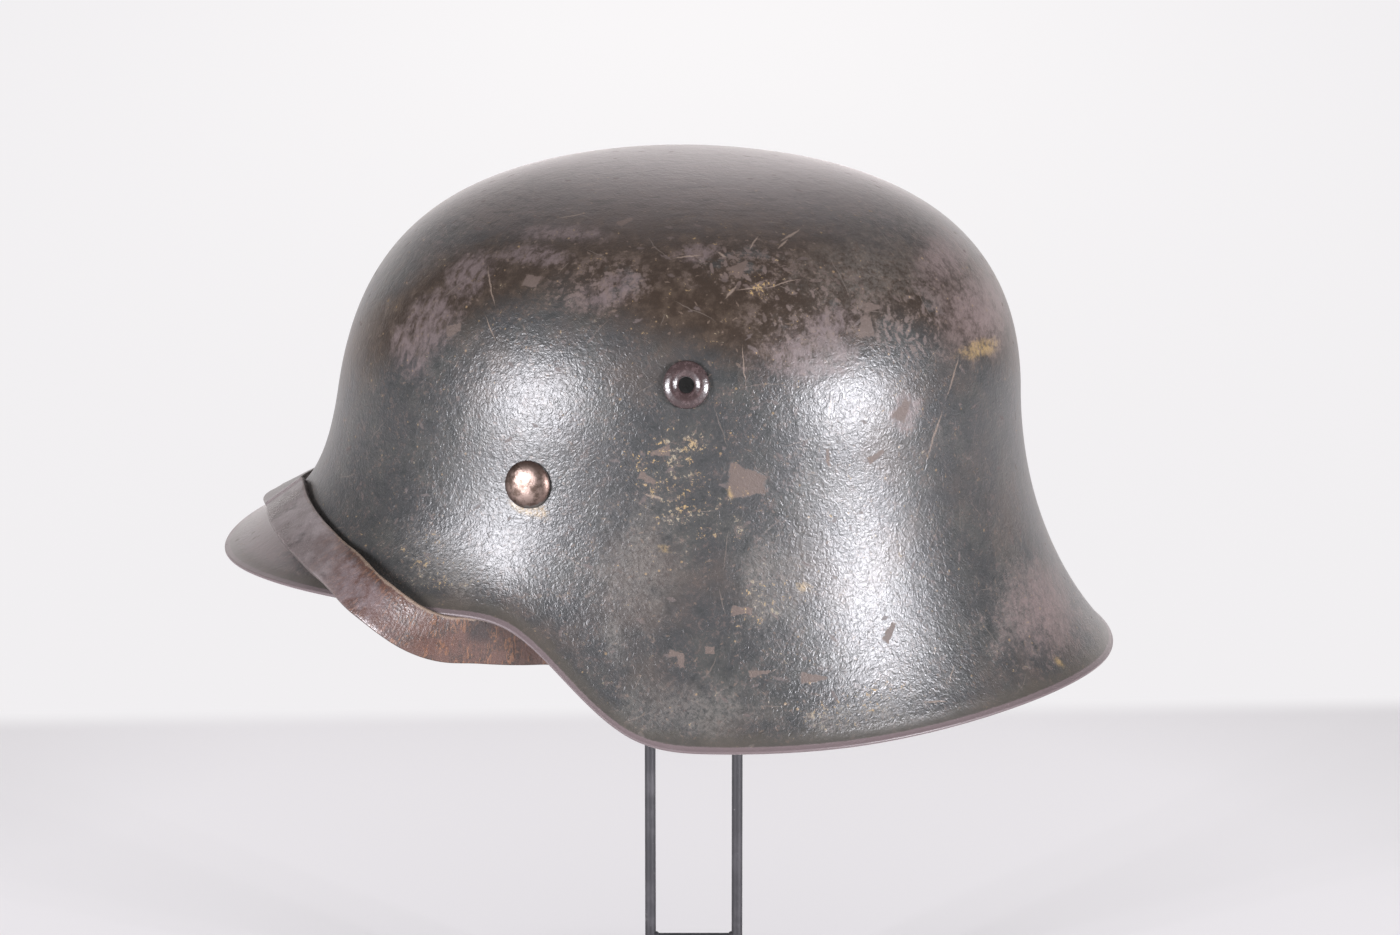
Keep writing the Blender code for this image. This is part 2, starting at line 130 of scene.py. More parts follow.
# How far ahead of the origin the strap is stained, is rubbed shiny under a painted highlight, and starts to
# turn grey, partly with wear and partly with painted sheen
STRAP_STAIN = 0.067
STRAP_SHINE_AND_HIGHLIGHT = 0.106
STRAP_GREY_AND_SHEEN = 0.108
# Degrees before the lug's post at which the strap reaches its seat
STRAP_LANDING = 3
# Azimuths between which the strap is doubled
DOUBLING = (-24, 3.2)
DOUBLING_WIDTH = STRAP_WIDTH * 0.98
DOUBLING_THICKNESS = 0.0009
DOUBLING_LIFT = 0.0011
# Sizes and depths of the strap's waves, sags and wrinkles
STRAP_WAVES = (0.011, 0.00035)
STRAP_SAGS = (0.008, 0.00018)
STRAP_WRINKLES = (0.0025, 0.00005)
ROUTE_COLUMNS = ("azimuth", "reach", "drop", "tilt")
ROUTE = (
    (-67, 0.130, 0.668, 0),
    (-61, 0.280, 0.676, 0),
    (-56, 0.430, 0.680, 0),
    (-51.5, 0.570, 0.668, 6),
    (-47, 0.690, 0.620, 18),
    (-42, 0.760, 0.555, 40),
    (-36, 0.690, 0.503, 59),
    (-27, 0.670, 0.487, 60),
    (-18, 0.660, 0.490, 61),
    (-11, 0.620, 0.482, 61),
    (-5, 0.500, 0.454, 58),
    (1, 0.465, 0.402, 55),
    (12.8, 0.490, 0.397, 61),
    (20, 0.525, 0.414, 62),
    (27, 0.565, 0.440, 62),
    (36, 0.650, 0.480, 53),
    (42, 0.725, 0.526, 42),
    (47, 0.688, 0.588, 22),
    (51.5, 0.560, 0.645, 7),
    (56, 0.410, 0.654, 1),
    (61, 0.270, 0.662, 0),
    (67, 0.135, 0.662, 0),
)

# Brown camouflage round the dome, between two drops
BAND_SOFTNESS = 0.014
BAND_COLUMNS = ("azimuth", "top", "bottom")
BAND = (
    (0, -0.022, -0.004),
    (12, -0.034, -0.008),
    (22, -0.044, -0.015),
    (30, -0.056, -0.021),
    (40, -0.063, -0.031),
    (50, -0.066, -0.040),
    (63, -0.069, -0.046),
    (77, -0.070, -0.040),
    (92, -0.070, -0.033),
    (104, -0.070, -0.026),
    (114, -0.069, -0.022),
    (124, -0.068, -0.026),
    (136, -0.064, -0.033),
    (146, -0.061, -0.027),
    (157, -0.058, -0.017),
    (168, -0.052, -0.010),
    (180, -0.047, -0.005),
)

# Wear of the painted shell, two rows of which are painted reflection, with turns clockwise from the level as
# seen from outside
PATCH_COLUMNS = ("kind", "azimuth", "drop", "half_length", "half_width", "turn")
PATCHES = (
    ("rubbed", 34, -0.033, 0.014, 0.011, -58),
    ("rubbed", 31, -0.024, 0.012, 0.007, 20),
    ("rubbed", 38, -0.049, 0.010, 0.009, -34),
    ("rubbed", 51, -0.057, 0.014, 0.004, -9),
    ("rubbed", 54, -0.063, 0.018, 0.004, -12),
    ("rubbed", 74, -0.050, 0.012, 0.006, -20),
    ("rubbed", 95, -0.060, 0.008, 0.004, -9),
    ("rubbed", 116, -0.031, 0.019, 0.009, 0),
    ("rubbed", 121, -0.039, 0.012, 0.006, -6),
    ("bared", 163, -0.034, 0.028, 0.013, 3),
    ("bared", 160, -0.050, 0.020, 0.009, -8),
    ("bared", 134, -0.010, 0.006, 0.005, -47),
    # Painted reflection: the next two patches paint the visor's top and the rear skirt's flare paler
    ("bared", 10, 0.046, 0.034, 0.012, 0),
    ("bared", 161, 0.064, 0.026, 0.015, 8),
    ("chipped", 119, -0.044, 0.021, 0.012, -6),
    ("chipped", 106, -0.056, 0.018, 0.010, 10),
    ("chipped", 140, -0.036, 0.016, 0.012, 0),
    ("chipped", 72, -0.052, 0.016, 0.009, -10),
    ("ochre", 156, -0.023, 0.013, 0.003, 5),
    ("ochre", 112, 0.041, 0.003, 0.002, 10),
    ("ochre", 157, 0.079, 0.003, 0.002, 60),
    ("ochre", 62, 0.017, 0.008, 0.003, 20),
    ("ochre", 99.4, 0.0105, 0.0024, 0.0014, 70),
    ("ochre", 87.5, 0.0275, 0.0028, 0.0014, 10),
    ("flecked", 89, 0.000, 0.020, 0.016, 0),
    ("flecked", 93, 0.016, 0.020, 0.014, 0),
    ("flecked", 109, -0.051, 0.010, 0.005, 0),
    ("flecked", 118, 0.078, 0.022, 0.006, -3),
    ("flecked", 46, 0.038, 0.016, 0.010, 25),
    ("flecked", 104, 0.046, 0.012, 0.010, 0),
    ("dusty", 136, -0.052, 0.030, 0.014, 0),
    ("dusty", 92, 0.077, 0.022, 0.009, 4),
    ("dusty", 119, 0.080, 0.020, 0.005, -2),
    ("dusty", 83, 0.034, 0.012, 0.022, 0),
    ("dusty", 106, 0.040, 0.012, 0.018, 0),
    ("dusty", 47, 0.037, 0.020, 0.009, 21),
    ("dusty", 155, 0.060, 0.020, 0.016, 10),
    ("dusty", 79, 0.055, 0.011, 0.003, 85),
)
# Patches out of the photograph's sight, drawn at random within these ranges
UNSEEN_PATCHES = 44
UNSEEN_SEED = 5
UNSEEN_KINDS = ("rubbed", "bared", "chipped", "flecked", "dusty", "dusty", "ochre")
UNSEEN_AZIMUTHS = (-172, -8)
UNSEEN_DROPS = (-0.064, 0.080)
UNSEEN_SIZES = (0.006, 0.020)
UNSEEN_OCHRE_SIZE = 0.4
UNSEEN_NARROWING = (0.3, 0.7)
UNSEEN_TURNS = (-50, 50)
CHIP_COLUMNS = ("azimuth", "drop", "half_length", "half_width", "turn", "taper")
CHIPS = (
    (102.5, 0.0072, 0.0066, 0.0046, 8, 0.45),
    (86.6, -0.0028, 0.0034, 0.0013, -10, -0.5),
    (84.2, 0.0056, 0.0030, 0.0011, 25, 0.3),
    (117.8, 0.0011, 0.0031, 0.0006, 87, 0.0),
    (127.2, 0.0024, 0.0034, 0.0010, -27, 0.4),
    (112.3, 0.0686, 0.0048, 0.0013, 6, 0.8),
    (126.3, 0.0574, 0.0036, 0.0012, -52, 0.3),
    (101.0, 0.0470, 0.0036, 0.0014, 5, 0.4),
    (95.3, 0.0588, 0.0016, 0.0013, 0, 0.0),
    (89.6, 0.0600, 0.0024, 0.0009, 10, 0.3),
    (90.4, 0.0622, 0.0022, 0.0010, 80, 0.3),
    (103.5, 0.0661, 0.0036, 0.0008, -6, 0.6),
    (133.5, -0.0107, 0.0040, 0.0022, -52, 0.3),
    (129.3, -0.0373, 0.0036, 0.0026, -79, 0.3),
    (132.2, -0.0423, 0.0032, 0.0014, 12, 0.5),
    (105.2, -0.0561, 0.0036, 0.0018, -40, 0.8),
    (72.4, -0.0667, 0.0030, 0.0012, -45, 0.5),
    (54.9, -0.0504, 0.0028, 0.0022, 0, 0.0),
    (41.0, -0.0338, 0.0032, 0.0018, -28, 0.2),
)
SCRATCH_COLUMNS = ("azimuth", "drop", "half_length", "half_width", "turn")
SCRATCHES = (
    (45.5, -0.0475, 0.0092, 0.0005, 51),
    (49.7, -0.0358, 0.0062, 0.0004, 46),
    (53.5, -0.0670, 0.0060, 0.0005, -35),
    (101.7, -0.0500, 0.0036, 0.0006, -45),
    (111.1, -0.0618, 0.0040, 0.0005, -52),
    (122.5, -0.0630, 0.0060, 0.0007, -23),
    (118.5, -0.0611, 0.0036, 0.0005, -35),
    (106.5, -0.0505, 0.0059, 0.0003, 4),
    (113.8, -0.0511, 0.0074, 0.0003, -8),
    (92.5, -0.0589, 0.0058, 0.0005, -6),
    (101.4, -0.0594, 0.0026, 0.0006, 42),
    (146.4, -0.0178, 0.0104, 0.0005, -53),
    (140.2, -0.0010, 0.0100, 0.0007, -62),
    (131.3, 0.0798, 0.0052, 0.0005, 12),
    (135.5, 0.0730, 0.0040, 0.0004, -60),
    (85.4, 0.0110, 0.0046, 0.0005, 14),
    (102.9, -0.0290, 0.0080, 0.0003, 88),
    (118.6, -0.0145, 0.0036, 0.0004, -80),
)

# Stand, as in the part's source
FOOT_RADIUS = 0.075
FOOT_THICKNESS = 0.006
FOOT_CHAMFER = 0.001
FOOT_LOWER_EDGE = 0.0006
ROD_RADIUS = 0.0018
ROD_SPACING = 0.029
ROD_SEAT = 0.004
BRACE_HEIGHT = 0.0345
PAD_RADIUS = 0.040
PAD_EDGE = 0.007
PAD_ROUNDING = 0.0012

# Colours of the worn shell, in linear light
GREY_GREEN = (0.036, 0.036, 0.033)
DEEP_GREEN = (0.016, 0.018, 0.018)
TAN_GRAIN = (0.074, 0.055, 0.048)
BROWN_BLOOM = (0.054, 0.041, 0.034)
CROWN_DUST = (0.066, 0.052, 0.048)
CROWN_STAIN = (0.013, 0.011, 0.010)
CROWN_STREAK = (0.085, 0.066, 0.060)
LIGHT_BROWN = (0.038, 0.026, 0.018)
DUST = (0.092, 0.083, 0.073)
RUBBED_PRIMER = (0.096, 0.073, 0.072)
# Bared primer, which also paints two reflections
BARED_PRIMER_AND_REFLECTION = (0.112, 0.084, 0.080)
# Painted reflection: paler grey on the visor's front
VISOR_PAINTED_REFLECTION = (0.098, 0.082, 0.082)
FLAKED_PAINT = (0.086, 0.063, 0.055)
CHIP_BROWN = (0.066, 0.046, 0.037)
LOOSE_CHIP = (0.060, 0.044, 0.040)
FINE_CHIP = (0.100, 0.074, 0.058)
SCRATCH_BUFF = (0.150, 0.115, 0.092)
LOOSE_SCRATCH = (0.100, 0.082, 0.070)
OCHRE_STAIN = (0.235, 0.160, 0.064)
OCHRE_FLECK = (0.225, 0.150, 0.060)
BUFF_FLECK = (0.165, 0.140, 0.098)
OCHRE_SPECK = (0.190, 0.130, 0.070)
RIM_MARGIN = (0.045, 0.039, 0.031)
RIM_STEEL = (0.092, 0.071, 0.073)
INNER_PAINT = (0.010, 0.010, 0.009)
INNER_RUST = (0.035, 0.020, 0.013)
VENT_PAINT = (0.030, 0.019, 0.019)
VENT_RUBBED = (0.058, 0.039, 0.039)
# Painted shade in the vent ring's foot and throat
VENT_PAINTED_SHADE = (0.008, 0.008, 0.007)
SHEEN_TINT = (1.0, 0.89, 0.87)

# Colours of the rivets, strap, stand and lugs
RIVET_METAL = (0.222, 0.166, 0.144)
RIVET_PATINA = (0.076, 0.054, 0.044)
# Painted shade on the rivet's flanks
RIVET_PAINTED_SHADE = (0.12, 0.080, 0.068)
RIVET_PAINT = (0.040, 0.041, 0.038)
DARK_LEATHER = (0.030, 0.019, 0.016)
ORANGE_LEATHER = (0.150, 0.070, 0.037)
# Leather paled at the front, partly wear and partly painted sheen
PALE_LEATHER_AND_SHEEN = (0.185, 0.160, 0.160)
GREY_LEATHER_AND_SHEEN = (0.115, 0.096, 0.095)
# Painted highlight on the strap's rubbed place
LEATHER_PAINTED_HIGHLIGHT = (0.150, 0.120, 0.124)
LEATHER_STAIN = (0.012, 0.009, 0.009)
RAW_EDGE = (0.140, 0.100, 0.073)
DARK_EDGE = (0.030, 0.021, 0.018)
WIRE_SMEAR = (0.060, 0.057, 0.062)
WIRE_SCUFF = (0.19, 0.18, 0.18)
LUG_STEEL = (0.24, 0.23, 0.22)
LUG_RUST = (0.13, 0.065, 0.035)
DARK_FELT = (0.045, 0.045, 0.047)
FELT_FIBRE = (0.11, 0.105, 0.10)

# Camera and light, from the photograph, with azimuths from the camera's side towards the rear
CAMERA_TARGET = (0.0021, 0, 0.198)
CAMERA_DISTANCE = 1.942
CAMERA_ELEVATION = 15
CAMERA_LENS = 151.9
CAMERA_SENSOR = 36
TABLE_EDGE = 0.362
TABLE_EDGE_SLOPE = 0.0407
TABLE_EDGE_BLUR = 0.014
# Distances over which the table's top fades into the backdrop, for the camera alone
TABLE_FADE = (1.0, 1.9)
TABLE_HAZE = (0.950, 0.932, 0.940)
# How much lighter the table is at its far edge, and how far it lies below the foot
TABLE_FAR_GAIN = 1.2
TABLE_SINK = 0.0001
ROOM_COLOR = (1.0, 0.98, 0.965)
ROOM_LEVEL = 0.18
BACK_WALL_LEVEL = 1.05
CEILING_LEVEL = 0.06
SOFTBOX_COLUMNS = ("name", "azimuth", "elevation", "width", "height", "share")
SOFTBOXES = (
    ("front_softbox", -46, 9.5, 0.46, 0.50, 0.88),
    ("rear_softbox", 51, 6.5, 0.46, 0.44, 0.96),
)
SOFTBOX_DISTANCE = 1.7
SOFTBOX_COLOR = (0.955, 0.945, 1.0)

# Fineness of the meshes, the gap over which seams close and the angle from which an edge is sharp
MERIDIAN_RINGS = 60
LIP_RINGS = 4
RIM_STEPS = 6
INNER_RING_STEP = 3
VENT_SIDES = 72
RIVET_SIDES = 72
PAD_EDGE_POINTS = 72
ROUND_SIDES = 40
CUTTER_SIDES = 48
PAD_SIDES = 96
FOOT_SIDES = 160
DOUBLING_SECTIONS = 120
SEAM = 1e-6
SHARP_ANGLE = math.radians(40)


def rows(columns, table):
    return [dict(zip(columns, row)) for row in table]


def smooth_table(table_rows, columns):
    """Return a function that reads every column of a table by its first, on a curve level at both ends."""
    table = np.array(table_rows, float)
    knots, values = table[:, 0], table[:, 1:]
    steps = np.diff(knots)[:, None]
    slopes = np.diff(values, axis=0) / steps
    count = len(knots)
    matrix = np.eye(count)
    right = np.zeros_like(values)
    for i in range(1, count - 1):
        matrix[i, i - 1:i + 2] = (steps[i, 0], 2 * (steps[i - 1, 0] + steps[i, 0]), steps[i - 1, 0])
        right[i] = 3 * (steps[i] * slopes[i - 1] + steps[i - 1] * slopes[i])
    tangents = np.linalg.solve(matrix, right)

    def read(key):
        i = int(np.clip(np.searchsorted(knots, key) - 1, 0, count - 2))
        t = (key - knots[i]) / steps[i, 0]
        row = (values[i] * (1 + 2 * t) * (1 - t) ** 2 + values[i + 1] * t * t * (3 - 2 * t)
               + steps[i, 0] * t * (1 - t) * (tangents[i] * (1 - t) - tangents[i + 1] * t))
        return dict(zip(columns[1:], row))

    return read


skirt_at = smooth_table(SKIRT, SKIRT_COLUMNS)
route_at = smooth_table(ROUTE, ROUTE_COLUMNS)
band_at = smooth_table(BAND, BAND_COLUMNS)


def from_front(azimuth):
    """Degrees from the front of an azimuth on either side, 180 at the back."""
    return abs((azimuth + 180) % 360 - 180)


def waist_radius(azimuth):
    c, s = math.cos(math.radians(azimuth)), math.sin(math.radians(azimuth))
    oval = 1 / math.hypot(2 * c / DOME_LENGTH, 2 * s / DOME_WIDTH)
    return oval * (1 - DOME_EGG * c * s * s)


def bezier(a, b, c, d, count):
    t = np.linspace(0, 1, count + 1)[:, None]
    return (1 - t) ** 3 * a + 3 * t * (1 - t) ** 2 * b + 3 * t * t * (1 - t) * c + t ** 3 * d


def meridian(azimuth, dome_rings=MERIDIAN_RINGS, skirt_rings=MERIDIAN_RINGS, lip_rings=1):
    """Outer profile from the crown to the rim, as radius and height over the waist."""
    row = skirt_at(from_front(azimuth))
    radius = waist_radius(azimuth)
    crown = np.array([0, DOME_RISE])
    waist = np.array([radius, 0])
    bend = np.array([radius + row["bend_reach"] * VISOR_REACH, -row["bend_drop"] * SKIRT_DROP])
    rim = np.array([radius + row["rim_reach"] * VISOR_REACH, -row["rim_drop"] * SKIRT_DROP])
    up_wall = (waist - bend) / -bend[1]
    dome = bezier(crown, crown + [CROWN_PULL * radius, 0], waist + up_wall * SIDE_PULL * DOME_RISE,
                  waist, dome_rings)
    down = (bend - rim) / np.linalg.norm(bend - rim)
    lip_root = rim + down * LIP_HEIGHT
    snug = row["snug"]
    skirt = bezier(waist, waist + (bend - waist) * snug, lip_root + (bend - lip_root) * snug,
                   lip_root, skirt_rings - 1)
    share = np.linspace(0, 1, lip_rings + 1)[1:, None]
    lip = lip_root + (rim - lip_root) * share + [LIP_FLARE, 0] * share ** 2
    return np.vstack([dome, skirt[1:], lip])


def place(azimuth, radius, height):
    """World point from an azimuth, a radius from the dome's axis and a height over the waist."""
    a = math.radians(azimuth)
    return Vector((DOME_CENTRE_X - radius * math.cos(a), -radius * math.sin(a), WAIST_Z + height))


def wall_point(azimuth, drop):
    profile = meridian(azimuth)
    radius = float(np.interp(drop, -profile[:, 1], profile[:, 0]))
    return place(azimuth, radius, -drop)


def turned_out(normal, point):
    """The normal at a point, or its opposite where that one points away from the dome's axis."""
    return normal if normal.dot(point - Vector((DOME_CENTRE_X, 0, point.z))) >= 0 else -normal


def wall_frame(azimuth, drop):
    """Point on the outer wall with its outward normal, and the directions down the wall and round it."""
    turn, step = 0.5, 0.001
    point = wall_point(azimuth, drop)
    around = wall_point(azimuth + turn, drop) - wall_point(azimuth - turn, drop)
    down = wall_point(azimuth, drop + step) - wall_point(azimuth, drop - step)
    normal = turned_out(around.cross(down).normalized(), point)
    return point, normal, down.normalized(), around.normalized()


def mark_frame(row):
    """Middle of a mark on the shell, its normal and the directions of its length and width."""
    point, normal, down, around = wall_frame(row["azimuth"], row["drop"])
    turn = math.radians(row["turn"])
    along = around * math.cos(turn) + down * math.sin(turn)
    return point, normal, along, down * math.cos(turn) - around * math.sin(turn)


def placing(azimuth, drop):
    """Matrix that stands a turned piece on the wall, its +Z axis outward."""
    point, normal, down, _ = wall_frame(azimuth, drop)
    side = down.cross(normal).normalized()
    turn = Matrix((side, normal.cross(side), normal)).transposed()
    return Matrix.Translation(point) @ turn.to_4x4()


def dome_height(x, y):
    """Height of the outer dome over a point of the floor."""
    radius = math.hypot(x - DOME_CENTRE_X, y)
    azimuth = math.degrees(math.atan2(-y, DOME_CENTRE_X - x))
    dome = meridian(azimuth)[:MERIDIAN_RINGS + 1]
    return WAIST_Z + float(np.interp(radius, dome[:, 0], dome[:, 1]))


# Finishes

class Field:
    """A socket that carries a value over a surface. Arithmetic on it adds Math nodes."""

    def __init__(self, finish, socket):
        self.finish = finish
        self.socket = socket

    def math(self, operation, *values):
        return self.finish.node("ShaderNodeMath", {"operation": operation}, dict(enumerate(values)))

    def __add__(self, other):
        return self.math("ADD", self, other)

    def __sub__(self, other):
        return self.math("SUBTRACT", self, other)

    def __rsub__(self, other):
        return self.math("SUBTRACT", other, self)

    def __mul__(self, other):
        return self.math("MULTIPLY", self, other)

    def __truediv__(self, other):
        return self.math("DIVIDE", self, other)

    def __rtruediv__(self, other):
        return self.math("DIVIDE", other, self)

    def __abs__(self):
        return self.math("ABSOLUTE", self)

    def __or__(self, other):
        return self.math("MAXIMUM", self, other)

    __radd__ = __add__
    __rmul__ = __mul__
    __ror__ = __or__

    def rise(self, low, high):
        """Mask that climbs smoothly from 0 at low to 1 at high, or falls where low is the higher one."""
        sockets = {"Value": self, "From Min": low, "From Max": high}
        return self.finish.node("ShaderNodeMapRange", {"interpolation_type": "SMOOTHSTEP"}, sockets)


class Finish:
    """The node tree of a material or of the world, whose nodes are all made by one method."""

    def __init__(self, owner):
        owner.use_nodes = True
        self.owner = owner
        self.tree = owner.node_tree
        self.shader = self.tree.nodes.get("Principled BSDF")
        self.places = self.node("ShaderNodeTexCoord", output="Object")
        self.facing = self.sibling(self.places, "Normal")

    def node(self, kind, settings=None, sockets=None, output=0):
        """Add a node with its settings first, then the values or links of its sockets."""
        made = self.tree.nodes.new(kind)
        for key, value in (settings or {}).items():
            setattr(made, key, value)
        for key, value in (sockets or {}).items():
            self.feed(made.inputs[key], value)
        return Field(self, made.outputs[output])

    def sibling(self, field, output):
        """Another output of the node that a field comes from."""
        return Field(self, field.socket.node.outputs[output])

    def feed(self, socket, value):
        if isinstance(value, Field):
            self.tree.links.new(value.socket, socket)
        elif socket.type == "RGBA":
            socket.default_value = (*value[:3], 1)
        else:
            socket.default_value = value

    def surface(self, **values):
        """Set sockets of the Principled shader, written with underscores for spaces."""
        names = {name.lower().replace(" ", "_"): name for name in self.shader.inputs.keys()}
        for key, value in values.items():
            self.feed(self.shader.inputs[names[key]], value)
        return self.owner

    def vector(self, operation, *values, output=0):
        return self.node("ShaderNodeVectorMath", {"operation": operation}, dict(enumerate(values)), output)

    def dot(self, a, b):
        return self.vector("DOT_PRODUCT", a, b, output="Value")

    def parts(self, vector):
        """Three fields from a vector or a colour."""
        first = self.node("ShaderNodeSeparateXYZ", None, {0: vector})
        return [self.sibling(first, axis) for axis in "XYZ"]

    def stretch(self, scale):
        """Places scaled along each axis, which draws a pattern out along the axes with small scales."""
        return self.vector("MULTIPLY", self.places, scale)

    def cloud(self, size, detail=3, roughness=0.55, distortion=0, places=None, output=0):
        """Soft noise whose features are about as large as size, in metres."""
        sockets = {"Vector": places or self.places, "Scale": 1 / size, "Detail": detail,
                   "Roughness": roughness, "Distortion": distortion}
        return self.node("ShaderNodeTexNoise", None, sockets, output)

    def warped(self, size, reach):
        """Places shaken by noise, so that straight edges drawn on them turn ragged."""
        shake = self.vector("SUBTRACT", self.cloud(size, 3, 0.6, output="Color"), (0.5, 0.5, 0.5))
        return self.vector("MULTIPLY_ADD", shake, (reach, reach, reach), self.places)

    def cells(self, size, places=None):
        """Distance from the middle of each cell of a random grid."""
        return self.node("ShaderNodeTexVoronoi", None, {"Vector": places or self.places, "Scale": 1 / size})

    def drawn(self, cell, share):
        """Mask of a share of the cells of a random grid, and a size from 0.3 to 1 for each cell."""
        chance, size, _ = self.parts(self.sibling(cell, "Color"))
        return chance.rise(share, share - 0.02), size * 0.7 + 0.3

    def specks(self, spacing, radius, share):
        """Round specks in a share of the cells of a random grid."""
        cell = self.cells(spacing)
        kept, size = self.drawn(cell, share)
        return (size * (radius / spacing) - cell).rise(0, 0.3 * radius / spacing) * kept

    def strokes(self, spacing, half_length, half_width, share, places):
        """Tapered strokes that lie in the surface at random angles, in a share of a random grid's cells."""
        cell = self.cells(spacing, places)
        kept, size = self.drawn(cell, share)
        offset = self.vector("SUBTRACT", places, self.sibling(cell, "Position"))
        wild = self.vector("SUBTRACT", self.sibling(cell, "Color"), (0.5, 0.5, 0.5))
        aside = self.vector("NORMALIZE", self.vector("CROSS_PRODUCT", self.facing, wild))
        along = self.vector("CROSS_PRODUCT", self.facing, aside)
        reach = self.dot(offset, along) / (size * half_length)
        across = abs(self.dot(offset, aside)) / half_width
        return (1 - reach * reach - across).rise(0, 0.4) * kept

    def attribute(self, name):
        return self.node("ShaderNodeAttribute", {"attribute_name": name}, output="Fac")

    def blend(self, base, top, mask):
        """Colour that goes from base to top where the mask is 1."""
        sockets = {0: mask, 6: base, 7: top}
        return self.node("ShaderNodeMix", {"data_type": "RGBA", "clamp_factor": True}, sockets, 2)

    def coats(self, color, *layers):
        """Colour under layers of (colour, mask), each laid over the one before."""
        for top, mask in layers:
            color = self.blend(color, top, mask)
        return color

    def bump(self, height, distance, strength=1.0):
        sockets = {"Height": height, "Distance": distance, "Strength": strength}
        return self.node("ShaderNodeBump", None, sockets)

    def mark(self, row, places):
        """Ways along and across a mark from its middle, as shares of its half length and half width."""
        point, _, along, aside = mark_frame(row)
        return [self.dot(places, tuple(axis / half)) - point.dot(axis) / half
                for axis, half in ((along, row["half_length"]), (aside, row["half_width"]))]

    def chip(self, row, places):
        """Four-sided chip, narrower at one end by its taper."""
        reach, across = self.mark(row, places)
        return 1 - (abs(reach) | abs(across) / (1 - reach * row["taper"]))

    def scratch(self, row, places):
        """Thin stroke, pointed at both ends."""
        reach, across = self.mark(row, places)
        return 1 - reach * reach - abs(across)


def strongest(masks):
    """The highest of several masks at each place."""
    return reduce(Field.__or__, masks)


def new_finish(name):
    return Finish(bpy.data.materials.new(name))


